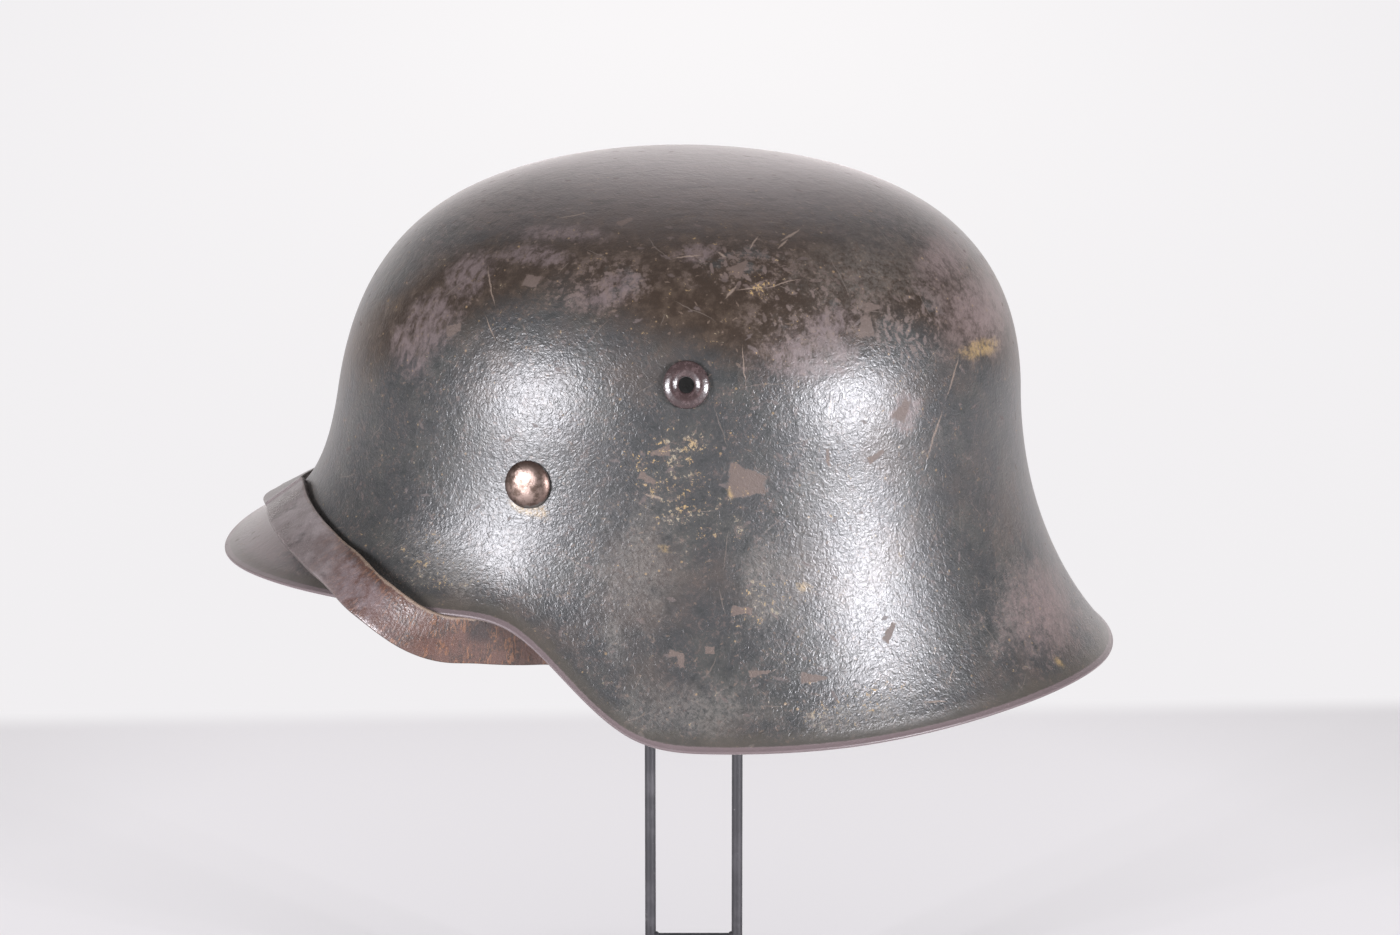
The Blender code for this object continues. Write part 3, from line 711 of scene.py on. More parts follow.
def build_paint(looks):
    """Wrinkled dark green paint with a brown band, worn through to primer, rust and old ochre paint, with
    painted reflection on the visor and the rear skirt.
    """
    finish = new_finish("worn_shell_paint")
    broad = finish.cloud(0.045, 4, 0.6)
    patchy = finish.cloud(0.014, 5, 0.65)
    mottle = finish.cloud(0.005, 5, 0.7)
    grain = finish.cloud(0.0013, 4, 0.75)
    crumbs = finish.cloud(0.0015, 4, 0.8)
    blended = mottle * 0.5 + grain * 0.5
    ragged = (patchy - 0.5) * 0.9 + (mottle - 0.5) * 0.9 + (grain - 0.5) * 0.7
    x, y, height_up = finish.parts(finish.places)
    near_side = y.rise(0.002, -0.002)

    def zone(name, spread, low, high):
        """Mask of one kind of wear, its edge made ragged."""
        return (finish.attribute(name) + ragged * spread).rise(low, high)

    # Green, its grain flecked with brown and tan
    drawn_out = finish.cloud(1, 4, 0.7, 0.4, finish.stretch((70, 260, 900)))
    on_top = (height_up + (broad - 0.5) * 0.03).rise(CROWN_HEIGHT - 0.020, CROWN_HEIGHT - 0.006)
    high_up = height_up.rise(CROWN_HEIGHT - 0.045, CROWN_HEIGHT - 0.018)
    color = finish.coats(
        looks.paint_color,
        (GREY_GREEN, patchy.rise(0.42, 0.66) * 0.7),
        (DEEP_GREEN, mottle.rise(0.50, 0.30) * 0.7),
        (TAN_GRAIN, (mottle * 0.4 + grain * 0.6).rise(0.51, 0.63) * 0.6),
        (BROWN_BLOOM, broad.rise(0.50, 0.68) * 0.5),
        (CROWN_DUST, on_top * 0.55),
        (CROWN_STAIN, high_up * drawn_out.rise(0.54, 0.62) * 0.7),
        (CROWN_STREAK, high_up * drawn_out.rise(0.44, 0.37) * 0.5))

    # Brown band, with green showing through where it is thin
    thin = zone("chipped", 1.2, 0.0, 0.5)
    band = zone("band", 0.8, -0.45, 0.75)
    brown = finish.blend(looks.brown_color, LIGHT_BROWN, mottle.rise(0.42, 0.66))

    # Dust, rubbed streaks, smooth bared primer that in two places is painted reflection, a paler visor that
    # is painted reflection, and flaked paint
    dusty = zone("dusty", 1.3, -0.4, 0.9) * crumbs.rise(0.34, 0.62)
    streaks = finish.cloud(1, 5, 0.75, 0.4, finish.stretch((420, 420, 150)))
    rubbed = zone("rubbed", 1.4, -0.25, 0.55) * streaks.rise(0.34, 0.62)
    # Bared primer, with two patches that are painted reflection
    bared = zone("bared", 1.5, -0.45, 0.85) * (blended.rise(0.36, 0.56) * 0.6 + 0.4)
    # Painted reflection: the visor's front is painted paler grey, where its top would catch the bright room
    # behind
    visor = x.rise(VISOR_TIP + 0.026, VISOR_TIP + 0.018) * (0.65 + mottle * 0.3)
    shaken = finish.warped(0.0016, 0.0017)
    leaves = finish.strokes(0.0040, 0.0031, 0.00085, 0.60, shaken)
    clumps = blended.rise(0.52, 0.56) * 0.7
    chipped = zone("chipped", 1.0, -0.4, 0.5) * (leaves | clumps)
    color = finish.coats(
        color,
        (brown, band * (0.94 - thin * patchy.rise(0.50, 0.60) * 0.8)),
        (DUST, dusty * 0.50),
        (RUBBED_PRIMER, rubbed * 0.80),
        (BARED_PRIMER_AND_REFLECTION, bared * 0.92),
        (VISOR_PAINTED_REFLECTION, visor * 0.7),
        (FLAKED_PAINT, chipped * 0.72))

    # Chips and scratches, those of the near side and others at random
    wandering = finish.warped(0.007, 0.0022)
    chips = strongest(finish.chip(row, shaken) for row in rows(CHIP_COLUMNS, CHIPS))
    chips = (chips + (mottle - 0.5) * 0.8).rise(0, 0.16) * near_side
    scratches = strongest(finish.scratch(row, wandering) for row in rows(SCRATCH_COLUMNS, SCRATCHES))
    scratches = (scratches + (grain - 0.5) * 0.8).rise(0, 0.7) * near_side
    loose_chips = finish.strokes(0.0085, 0.0026, 0.0007, 0.20, shaken)
    color = finish.coats(
        color,
        (LOOSE_CHIP, loose_chips * 0.6),
        (FINE_CHIP, finish.strokes(0.0042, 0.0011, 0.0004, 0.30, shaken) * 0.5),
        (LOOSE_SCRATCH, finish.strokes(0.020, 0.0085, 0.00022, 0.60, wandering) * 0.45),
        (CHIP_BROWN, chips * 0.86),
        (SCRATCH_BUFF, scratches * 0.70))

    # Ochre stains and the fine flecks below the vent
    ochre = zone("ochre", 1.6, -0.2, 0.7) * crumbs.rise(0.34, 0.60)
    flecked = zone("flecked", 1.0, -0.4, 0.9)
    flecks = (crumbs + (mottle - 0.5) * 0.5 + flecked * 0.10).rise(0.680, 0.725)
    color = finish.coats(
        color,
        (OCHRE_STAIN, ochre * 0.66),
        (finish.blend(OCHRE_FLECK, BUFF_FLECK, patchy.rise(0.46, 0.58)), flecks * 0.8),
        (OCHRE_SPECK, finish.specks(0.0040, 0.00058, 0.38) * 0.55))

    # Rim worn to purple-grey steel, with a smooth dark olive margin, and the plain inside
    rim = finish.attribute("rim_distance")
    inside = finish.attribute("inside")
    edge = (rim + (grain - 0.5) * 0.0008).rise(0.0017, 0.0012)
    margin = (rim + (mottle - 0.5) * 0.010).rise(0.0075, 0.0030)
    color = finish.coats(
        color,
        (RIM_MARGIN, margin * 0.55),
        (RIM_STEEL, edge),
        (finish.blend(INNER_PAINT, INNER_RUST, patchy.rise(0.50, 0.64) * 0.7), inside * (1 - edge)))

    # Worn places are matt and smooth, sound paint is glossy and wrinkled
    worn = strongest((rubbed * 0.5, chipped * 0.8, chips, loose_chips * 0.8, dusty * 0.6, flecks))
    roughness = looks.gloss_roughness + (mottle - 0.5) * 0.10 + worn * 0.28 + bared * 0.04 + inside * 0.2
    calm = strongest((
        finish.attribute("bared").rise(-0.2, 0.5) * 0.45,
        finish.attribute("rubbed").rise(-0.2, 0.5) * 0.45,
        finish.attribute("band").rise(-0.3, 0.6) * 0.35,
        rim.rise(0.0060, 0.0025) * 0.7,
        high_up * 0.45))
    wrinkle = finish.cloud(looks.pebble_size, 2, 0.5, 1.2)
    ripple = finish.cloud(0.0042, 2, 0.5, 0.6)
    normal = finish.bump((wrinkle + grain * 0.25 + ripple * 0.9) * (1 - calm), looks.pebble_depth)
    return finish.surface(base_color=color, roughness=roughness, normal=normal, sheen_weight=0.26,
                          sheen_roughness=0.40, sheen_tint=SHEEN_TINT)


def build_vent_paint():
    """Glossy purple-brown paint of the pressed rings, rubbed thin in places, with painted shade darkening
    each ring's foot and its throat.
    """
    finish = new_finish("worn_vent_paint")
    mottle = finish.cloud(0.0018, 5, 0.7)
    foot = finish.attribute("height")
    # Painted shade: the ring darkens at its foot and down its throat
    color = finish.coats(
        VENT_PAINT,
        (VENT_RUBBED, mottle.rise(0.45, 0.65)),
        (VENT_PAINTED_SHADE, (foot + (mottle - 0.5) * 0.2).rise(0.35, 0.15)))
    normal = finish.bump(finish.cloud(0.0016, 3, 0.6), 0.00012)
    return finish.surface(base_color=color, roughness=0.22 + mottle * 0.1, normal=normal)


def build_rivet_metal():
    """Copper-brown metal, dark with age, smoother on the crown, its flanks darkened towards the foot as
    painted shade, with paint left round its foot.
    """
    finish = new_finish("worn_rivet_metal")
    patina = finish.cloud(0.0042, 5, 0.72)
    pits = finish.cloud(0.0015, 4, 0.65)
    foot = finish.attribute("height")
    # Painted shade: the dome's flanks darken from near its top down to its foot
    side = (foot + (patina - 0.5) * 0.7).rise(0.85, 0.30)
    middle = WAIST_Z - RIVET_DROP
    low = finish.parts(finish.places)[2].rise(middle - 0.0035, middle - 0.0062)
    paint = (foot + (patina - 0.5) * 1.2 - low * 0.45).rise(0.22, 0.05)
    color = finish.coats(
        RIVET_METAL,
        (RIVET_PATINA, patina.rise(0.43, 0.62)),
        (RIVET_PAINTED_SHADE, side * 0.75),
        (RIVET_PAINT, paint * 0.9))
    roughness = 0.30 + patina * 0.20 + side * 0.08
    normal = finish.bump(pits + patina * 0.8, 0.00010)
    return finish.surface(base_color=color, metallic=1 - paint, roughness=roughness, normal=normal)


def build_leather(looks):
    """Old leather, smooth and grey in front, partly from wear and partly as painted grazing sheen, and
    red-brown with orange mottles towards the lugs.
    """
    finish = new_finish("old_strap_leather")
    x = finish.parts(finish.places)[0]
    broad = finish.cloud(0.016, 4, 0.6)
    mottle = finish.cloud(0.0045, 5, 0.7)
    pores = finish.cells(0.0009)
    u, v, _ = finish.parts(finish.node("ShaderNodeUVMap", {"uv_map": "strap"}))

    def drawn_along(along, across):
        """Places on the strap's flat pattern, scaled along it and across it."""
        return finish.node("ShaderNodeCombineXYZ", None, {0: u * along, 1: v * across})

    creases = finish.cloud(1, 4, 0.65, 0.3, drawn_along(900, 90))
    fibres = finish.cloud(1, 3, 0.6, 1.5, drawn_along(700, 220))

    def near(place, far, close):
        """Mask round one place along the strap, as far ahead of the origin as place says."""
        return abs(x + place).rise(far, close)

    # Grey front, partly wear and partly painted sheen, rubbed shiny places with a painted highlight, and
    # stained places
    # Partly wear and partly painted sheen: the front is paler and greyer
    front = (x + (broad - 0.5) * 0.02).rise(-STRAP_GREY_AND_SHEEN, -STRAP_GREY_AND_SHEEN - 0.014)
    grey = finish.blend(PALE_LEATHER_AND_SHEEN, GREY_LEATHER_AND_SHEEN, broad.rise(0.45, 0.62))
    wavering = v + (mottle - 0.5) * 0.01
    # Painted highlight: a lighter patch on the strap's upper half where it is rubbed shiny
    shine_and_painted_highlight = near(STRAP_SHINE_AND_HIGHLIGHT, 0.016, 0.003) * wavering.rise(-0.0060, -0.0015)
    stained = near(STRAP_STAIN, 0.006, 0.002) * wavering.rise(0.002, -0.002)
    stained = stained | finish.cloud(0.011, 4).rise(0.60, 0.70) * 0.6

    # Cut edges, pale above and dark below
    upper = v.rise(-0.004, -0.006)
    raw = (finish.attribute("cut_edge") + (mottle - 0.5) * 0.5).rise(0.55, 0.80)
    raw = raw | (v + (mottle - 0.5) * 0.003).rise(-0.0064, -0.0069)
    color = finish.coats(
        looks.leather_color,
        (DARK_LEATHER, mottle.rise(0.44, 0.62)),
        (ORANGE_LEATHER, (fibres * 0.6 + mottle * 0.4).rise(0.52, 0.62) * 0.7),
        (grey, front * 0.9),
        (LEATHER_PAINTED_HIGHLIGHT, shine_and_painted_highlight * (broad * 0.5 + mottle * 0.5).rise(0.40, 0.60) * 0.75),
        (LEATHER_STAIN, stained * 0.75),
        (RAW_EDGE, raw * upper * (1 - front * 0.7) * 0.85),
        (DARK_EDGE, raw * (1 - upper) * 0.6))
    worn_shiny = broad.rise(0.5, 0.66) | shine_and_painted_highlight
    roughness = 0.40 - worn_shiny * 0.13 + raw * 0.25 + creases * 0.06 - front * 0.04
    height = creases * 0.9 + fibres * 0.3 - pores * 0.4 + mottle * 0.8
    normal = finish.bump(height, 0.00020, 0.8)
    return finish.surface(base_color=color, roughness=roughness, normal=normal, specular_ior_level=0.65)


def build_wire(looks):
    """Dark blackened steel of the stand, dulled by handling."""
    finish = new_finish("blackened_stand_steel")
    smear = finish.cloud(0.012, 4, 0.6)
    color = finish.coats(
        looks.wire_color,
        (WIRE_SMEAR, smear.rise(0.45, 0.75)),
        (WIRE_SCUFF, finish.cloud(0.004, 5, 0.7).rise(0.62, 0.68) * 0.5))
    normal = finish.bump(finish.cloud(0.0011, 3, 0.6), 0.00006, 0.6)
    return finish.surface(base_color=color, metallic=0.35, roughness=0.42 + smear * 0.15, normal=normal)


def build_lug_steel():
    """Grey pressed steel with brown rust in its hollows."""
    finish = new_finish("rusted_lug_steel")
    rust = finish.cloud(0.003, 6, 0.7).rise(0.48, 0.60)
    color = finish.blend(LUG_STEEL, LUG_RUST, rust * 0.8)
    normal = finish.bump(finish.cloud(0.0008, 4), 0.0001, 0.7)
    return finish.surface(base_color=color, metallic=1 - rust * 0.8, roughness=0.42 + rust * 0.35,
                          normal=normal)


def build_felt():
    """Dark pressed felt with loose fibres."""
    finish = new_finish("dark_pad_felt")
    fibre = finish.cloud(0.0007, 6, 0.8, 2)
    color = finish.blend(DARK_FELT, FELT_FIBRE, fibre.rise(0.35, 0.7))
    normal = finish.bump(fibre, 0.0006, 0.9)
    return finish.surface(base_color=color, roughness=0.95, sheen_weight=0.3, normal=normal)


# Meshes

def round_angles(count):
    return np.linspace(0, 2 * math.pi, count + 1)[:-1]


def circle(radius, height, sides):
    return [(radius * math.cos(t), radius * math.sin(t), height) for t in round_angles(sides)]


def lathe(profile, sides):
    """Loops round +Z, one for each angle, from (radius, height) pairs."""
    return [[(r * math.cos(t), r * math.sin(t), z) for r, z in profile] for t in round_angles(sides)]


def stand_along(mesh, start, direction):
    """Move a mesh to start and turn its +Z axis to the direction."""
    turn = Vector((0, 0, 1)).rotation_difference(direction).to_matrix().to_4x4()
    mesh.transform(Matrix.Translation(start) @ turn)
    return mesh


def add_object(name, data):
    obj = bpy.data.objects.new(name, data)
    bpy.context.scene.collection.objects.link(obj)
    return obj


def link(name, mesh, material):
    """Add an object that rides on the frame's one body, in the given finish."""
    mesh.materials.append(material)
    obj = add_object(name, mesh)
    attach(obj, "root")
    return obj


def new_mesh(name, points, faces):
    mesh = bpy.data.meshes.new(name)
    mesh.from_pydata([tuple(p) for p in points], [], faces)
    return mesh


def grid(name, loops, closed_across=True, closed_along=False, caps=True):
    """Smooth mesh from loops of points, each of as many points."""
    count, size = len(loops), len(loops[0])
    faces = []
    for i in range(count if closed_along else count - 1):
        for j in range(size if closed_across else size - 1):
            a, b = i * size, (i + 1) % count * size
            k = (j + 1) % size
            faces.append((a + j, a + k, b + k, b + j))
    if caps and not closed_along:
        faces.append(tuple(range(size))[::-1])
        faces.append(tuple((count - 1) * size + j for j in range(size)))
    return tidy(new_mesh(name, [p for loop in loops for p in loop], faces))


def tidy(mesh):
    """Close the seams, face outward and shade smooth."""
    bm = bmesh.new()
    bm.from_mesh(mesh)
    bmesh.ops.remove_doubles(bm, verts=bm.verts, dist=SEAM)
    bmesh.ops.recalc_face_normals(bm, faces=bm.faces)
    if bm.calc_volume(signed=True) < 0:
        bmesh.ops.reverse_faces(bm, faces=bm.faces)
    bm.to_mesh(mesh)
    bm.free()
    return shade(mesh)


def shade(mesh):
    mesh.shade_smooth()
    mesh.set_sharp_from_angle(angle=SHARP_ANGLE)
    return mesh


def paint_values(mesh, name, values):
    """Give each point of a mesh a number that a finish can read."""
    layer = mesh.attributes.new(name, "FLOAT", "POINT")
    layer.data.foreach_set("value", values)


def unevenness(point, size, depth):
    return noise.noise(Vector(point) / size) * depth


def shell_loop(azimuth, looks):
    """Points of one meridian, out over the dome, round the rim and back inside, with what the paint reads."""
    outer = meridian(azimuth, looks.dome_rings, looks.skirt_rings, LIP_RINGS)
    along = np.gradient(outer, axis=0)
    along /= np.linalg.norm(along, axis=1)[:, None]
    out = np.stack([-along[:, 1], along[:, 0]], axis=1)
    outer[-1] -= along[-1] * WALL / 2
    steps = np.linspace(0, math.pi, RIM_STEPS + 1)[1:-1, None]
    middle = outer[-1] - out[-1] * WALL / 2
    edge = middle + (out[-1] * np.cos(steps) + along[-1] * np.sin(steps)) * WALL / 2
    kept = np.r_[len(outer) - 1, np.arange(len(outer) - INNER_RING_STEP, 0, -INNER_RING_STEP), 0]
    inner = (outer - out * WALL)[kept]
    profile = np.vstack([outer, edge, inner])
    facing = np.vstack([out, np.tile(out[-1], (len(edge), 1)), out[kept]])
    lengths = np.r_[0, np.cumsum(np.linalg.norm(np.diff(outer, axis=0), axis=1))]
    to_rim = lengths[-1] - lengths
    distance = np.r_[to_rim, np.zeros(len(edge)), to_rim[kept]]
    inside = np.r_[np.zeros(len(outer)), np.full(len(edge), 0.5), np.ones(len(inner))]
    limits = band_at(from_front(azimuth))
    band = np.minimum(-profile[:, 1] - limits["top"], limits["bottom"] + profile[:, 1]) / BAND_SOFTNESS
    a = math.radians(azimuth)
    points = []
    for (radius, height), (out_r, out_z) in zip(profile, facing):
        point = place(azimuth, radius, height)
        normal = Vector((-out_r * math.cos(a), -out_r * math.sin(a), out_z))
        point += normal * unevenness(point, looks.dent_size, looks.dent_depth)
        point.z = min(point.z, CROWN_HEIGHT)
        points.append(point)
    return points, {"rim_distance": distance, "inside": inside, "band": np.clip(band, -1, 1)}


def unseen_patches():
    """Rows of wear for the far side, the front and the back, in seeded random places."""
    draw = random.Random(UNSEEN_SEED)
    made = []
    for _ in range(UNSEEN_PATCHES):
        kind = draw.choice(UNSEEN_KINDS)
        size = draw.uniform(*UNSEEN_SIZES) * (UNSEEN_OCHRE_SIZE if kind == "ochre" else 1)
        made.append((kind, draw.uniform(*UNSEEN_AZIMUTHS), draw.uniform(*UNSEEN_DROPS), size,
                     size * draw.uniform(*UNSEEN_NARROWING), draw.uniform(*UNSEEN_TURNS)))
    return made


def wear_values(points):
    """For each kind of wear, 1 in the middle of its patches, 0 on their edges and less outside."""
    places = np.array(points)
    values = {}
    for row in rows(PATCH_COLUMNS, PATCHES + tuple(unseen_patches())):
        point, normal, along, aside = mark_frame(row)
        offset = places - np.array(point)
        reach = np.hypot(offset @ np.array(along) / row["half_length"],
                         offset @ np.array(aside) / row["half_width"])
        # A patch stays on its own side of the shell
        value = np.where(offset @ np.array(normal) > -2 * row["half_length"], 1 - reach, -1)
        before = values.get(row["kind"], -1)
        values[row["kind"]] = np.maximum(before, np.maximum(value, -1))
    return values


def build_shell(looks, paint):
    """Shell from its meridians, which meet in one point at the crown, with its holes and vents."""
    spokes = looks.shell_spokes
    made = [shell_loop(360 * i / spokes, looks) for i in range(spokes)]
    loops = [points for points, _ in made]
    crown = sum((loop[0] for loop in loops), Vector()) / spokes
    under_crown = sum((loop[-1] for loop in loops), Vector()) / spokes
    verts = [crown, under_crown] + [p for loop in loops for p in loop[1:-1]]
    size = len(loops[0]) - 2
    faces = []
    for i in range(spokes):
        a, b = 2 + i * size, 2 + (i + 1) % spokes * size
        faces.append((0, a, b))
        faces.append((1, b + size - 1, a + size - 1))
        faces.extend((a + j, a + j + 1, b + j + 1, b + j) for j in range(size - 1))
    mesh = new_mesh("helmet_skin", verts, faces)
    for name in made[0][1]:
        ends = [made[0][1][name][0], made[0][1][name][-1]]
        paint_values(mesh, name, np.r_[ends, np.concatenate([fields[name][1:-1] for _, fields in made])])
    for name, values in wear_values(verts).items():
        paint_values(mesh, name, values)
    tidy(mesh)
    shell = link("helmet_skin", mesh, paint)
    cut_holes(shell)
    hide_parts("helmet_shell")
    vent_paint = build_vent_paint()
    for side, sign in SIDES:
        build_vent(side, sign, vent_paint)


def cut_holes(shell):
    """Cut the rounds that the vents close and the rivets pass through."""
    holes = ((VENT_AZIMUTH, VENT_DROP, VENT_BOSS_RADIUS * 0.9),
             (RIVET_AZIMUTH, RIVET_DROP, RIVET_SHANK_RADIUS))
    cutters = []
    for sign in (1, -1):
        for azimuth, drop, radius in holes:
            mesh = grid("round", [circle(radius, z, CUTTER_SIDES) for z in (-CUT_REACH, CUT_REACH)])
            mesh.transform(placing(sign * azimuth, drop))
            cutters.append(add_object("round", mesh))
            modifier = shell.modifiers.new("round", "BOOLEAN")
            modifier.operation = "DIFFERENCE"
            modifier.solver = "EXACT"
            modifier.object = cutters[-1]
    graph = bpy.context.evaluated_depsgraph_get()
    mesh = bpy.data.meshes.new_from_object(shell.evaluated_get(graph))
    shell.modifiers.clear()
    shell.data = mesh
    for cutter in cutters:
        bpy.data.objects.remove(cutter)


def build_vent(side, sign, paint):
    """Pressed ring round the air hole, with its throat through the wall."""
    azimuth, drop = sign * VENT_AZIMUTH, VENT_DROP
    _, normal, down, _ = wall_frame(azimuth, drop)
    radius_here = waist_radius(azimuth)
    flange, hole = VENT_BOSS_RADIUS * 1.06, VENT_HOLE_RADIUS
    # Radius and height over the wall, from the buried foot over the crest and through to the inner flange
    rings = [(flange, -0.00012), (flange * 0.99, 0.00002)]
    rings += [(radius, VENT_HEIGHT - fall) for radius, fall in VENT_PROFILE]
    lip = rings[-1][1]
    rings += [(hole, lip - 0.0003), (hole, -WALL * 0.6), (hole, -WALL),
              (hole * 1.1, -WALL * 1.25), (flange * 0.7, -WALL * 1.15), (flange * 0.95, -WALL * 0.99)]
    loops = []
    for radius, height in rings:
        loop = []
        for t in round_angles(VENT_SIDES):
            across, below = radius * math.cos(t), radius * math.sin(t)
            base = wall_point(azimuth + math.degrees(across / radius_here), drop - below * down.z)
            loop.append(base + normal * height)
        loops.append(loop)
    mesh = grid("vent_ring_" + side, loops, caps=False)
    if mesh.polygons[0].normal.dot(normal) < 0:
        mesh.flip_normals()
    paint_values(mesh, "height", [height / VENT_HEIGHT for _, height in rings for _ in range(VENT_SIDES)])
    link("vent_ring_" + side, mesh, paint)


def turned(name, profile, sides):
    """Smooth solid of revolution about +Z from (radius, height) pairs that start and end on the axis."""
    return grid(name, lathe(profile, sides), closed_across=False, closed_along=True)


def build_rivet(side, sign, metal):
    """Domed head with a thin rolled foot, its shank and the washer clinched inside."""
    inner = -(WALL + LUG_CLEARANCE + LUG_THICKNESS + GAP)
    end = inner - RIVET_WASHER_THICKNESS
    # Radius and height over the wall, from the clinched end up the shank and out to the rolled foot
    profile = [(0, end - 0.0003), (RIVET_SHANK_RADIUS * 0.8, end - 0.0002), (RIVET_SHANK_RADIUS, end),
               (RIVET_WASHER_RADIUS * 0.96, end), (RIVET_WASHER_RADIUS, end + 0.0001),
               (RIVET_WASHER_RADIUS, inner), (RIVET_SHANK_RADIUS, inner), (RIVET_SHANK_RADIUS, 0),
               (RIVET_HEAD_RADIUS * 0.9, -0.0002), (RIVET_HEAD_RADIUS * 0.985, 0.0001),
               (RIVET_HEAD_RADIUS, RIVET_FOOT)]
    for t in np.linspace(0, math.pi / 2, 15)[1:]:
        profile.append((RIVET_HEAD_RADIUS * math.cos(t) ** 0.9,
                        RIVET_FOOT + (RIVET_HEAD_HEIGHT - RIVET_FOOT) * math.sin(t)))
    profile[-1] = (0, profile[-1][1])
    mesh = turned("rivet_head_" + side, profile, RIVET_SIDES)
    paint_values(mesh, "height", [v.co.z / RIVET_HEAD_HEIGHT for v in mesh.vertices])
    for vertex in mesh.vertices:
        if vertex.co.z > RIVET_DENTED_FROM:
            vertex.co.z += unevenness(vertex.co, *RIVET_DENTS)
    mesh.transform(placing(sign * RIVET_AZIMUTH, RIVET_DROP))
    rivet = link("rivet_head_" + side, mesh, metal)
    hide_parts("rivet_" + side)


def strap_station(azimuth):
    """Middle of the strap and the direction from its upper edge to its lower one."""
    a = abs(azimuth)
    post_depth = WALL + 2 * LUG_CLEARANCE + LUG_THICKNESS + STRAP_THICKNESS / 2
    last = ROUTE[-1][0]
    if a <= last:
        row = route_at(azimuth)
        radius = waist_radius(azimuth) + row["reach"] * VISOR_REACH
        centre = place(azimuth, radius, -row["drop"] * SKIRT_DROP)
        tilt = math.radians(row["tilt"])
        out = Vector((-math.cos(math.radians(azimuth)), -math.sin(math.radians(azimuth)), 0))
        return centre, out * math.sin(tilt) - Vector((0, 0, 1)) * math.cos(tilt)
    share = min(1, (a - last) / (LUG_POST_AZIMUTH - last - STRAP_LANDING))
    blend = share * share * (3 - 2 * share)
    point, normal, down, _ = wall_frame(azimuth, LUG_POST_DROP)
    seat = point - normal * post_depth
    row = route_at(math.copysign(last, azimuth))
    free = place(azimuth, waist_radius(a) + row["reach"] * VISOR_REACH, -row["drop"] * SKIRT_DROP)
    return free.lerp(seat, blend), Vector((0, 0, -1)).lerp(down, blend).normalized()


def strap_frames(first, last, count):
    """Middle, width direction, outward normal and length along the strap at even azimuths."""
    azimuths = np.linspace(first, last, count + 1)
    stations = [strap_station(a) for a in azimuths]
    frames, run = [], 0.0
    for i, (centre, across) in enumerate(stations):
        ahead, behind = stations[min(i + 1, count)][0], stations[max(i - 1, 0)][0]
        along = (ahead - behind).normalized()
        normal = turned_out(along.cross(across).normalized(), centre)
        across = along.cross(normal).normalized()
        if across.z > 0:
            across.negate()
        if i:
            run += (centre - stations[i - 1][0]).length
        frames.append((azimuths[i], centre, across, normal, run))
    return frames


def strap_section(width, thickness, corner):
    """Rounded rectangle as (across, out, share that is cut edge)."""
    points = []
    half_w, half_t = width / 2 - corner, thickness / 2 - corner
    for start, side, face in ((0, 1, 1), (90, -1, 1), (180, -1, -1), (270, 1, -1)):
        for turn in (0, 30, 60, 90):
            c, s = math.cos(math.radians(start + turn)), math.sin(math.radians(start + turn))
            points.append((side * half_w + corner * c, face * half_t + corner * s, abs(c)))
    outline = []
    for a, b in zip(points, points[1:] + points[:1]):
        outline.append(a)
        if abs(a[0] - b[0]) > width / 2:
            outline += [(a[0] + (b[0] - a[0]) * i / 8, a[1], 0) for i in range(1, 8)]
    return outline


def build_strap(looks, leather):
    """One strap from lug to lug, and the doubled stretch over the middle of the visor."""
    tail = math.degrees(STRAP_TAIL / waist_radius(LUG_POST_AZIMUTH))
    last = LUG_POST_AZIMUTH + tail
    frames = strap_frames(-last, last, looks.strap_sections)
    main = leather_band("strap_body", frames, STRAP_WIDTH, STRAP_THICKNESS, 0, leather)
    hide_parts("chin_strap")
    frames = strap_frames(*DOUBLING, DOUBLING_SECTIONS)
    leather_band("strap_doubling", frames, DOUBLING_WIDTH, DOUBLING_THICKNESS, DOUBLING_LIFT, leather)


def leather_band(name, frames, width, thickness, lift, leather):
    """Band of leather along the frames, lifted off their middle line."""
    section = strap_section(width, thickness, min(STRAP_CORNER, thickness * 0.3))
    loops, edges, coords = [], [], []
    for _, centre, across, normal, run in frames:
        wobble = unevenness((run, 0.1, lift), *STRAP_WAVES)
        loop = []
        for w, t, edge in section:
            p = centre + across * (w + wobble) + normal * (t + lift)
            loop.append(p + normal * (unevenness(p, *STRAP_SAGS) + unevenness(p, *STRAP_WRINKLES)))
            edges.append(edge)
            coords.append((run, w))
        loops.append(loop)
    mesh = grid(name, loops)
    uv = mesh.uv_layers.new(name="strap")
    for polygon in mesh.polygons:
        for corner in polygon.loop_indices:
            uv.data[corner].uv = coords[mesh.loops[corner].vertex_index]
    paint_values(mesh, "cut_edge", edges)
    return link(name, mesh, leather)


def build_lugs(steel):
    for side, _ in SIDES:
        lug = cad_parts["strap_lug_" + side]
        lug.data.materials.clear()
        lug.data.materials.append(steel)


def pad_underside():
    """Height of the flat underside of the felt pad."""
    edge = min(dome_height(x, y) for x, y, _ in circle(PAD_RADIUS, 0, PAD_EDGE_POINTS))
    return edge - WALL - GAP - PAD_EDGE


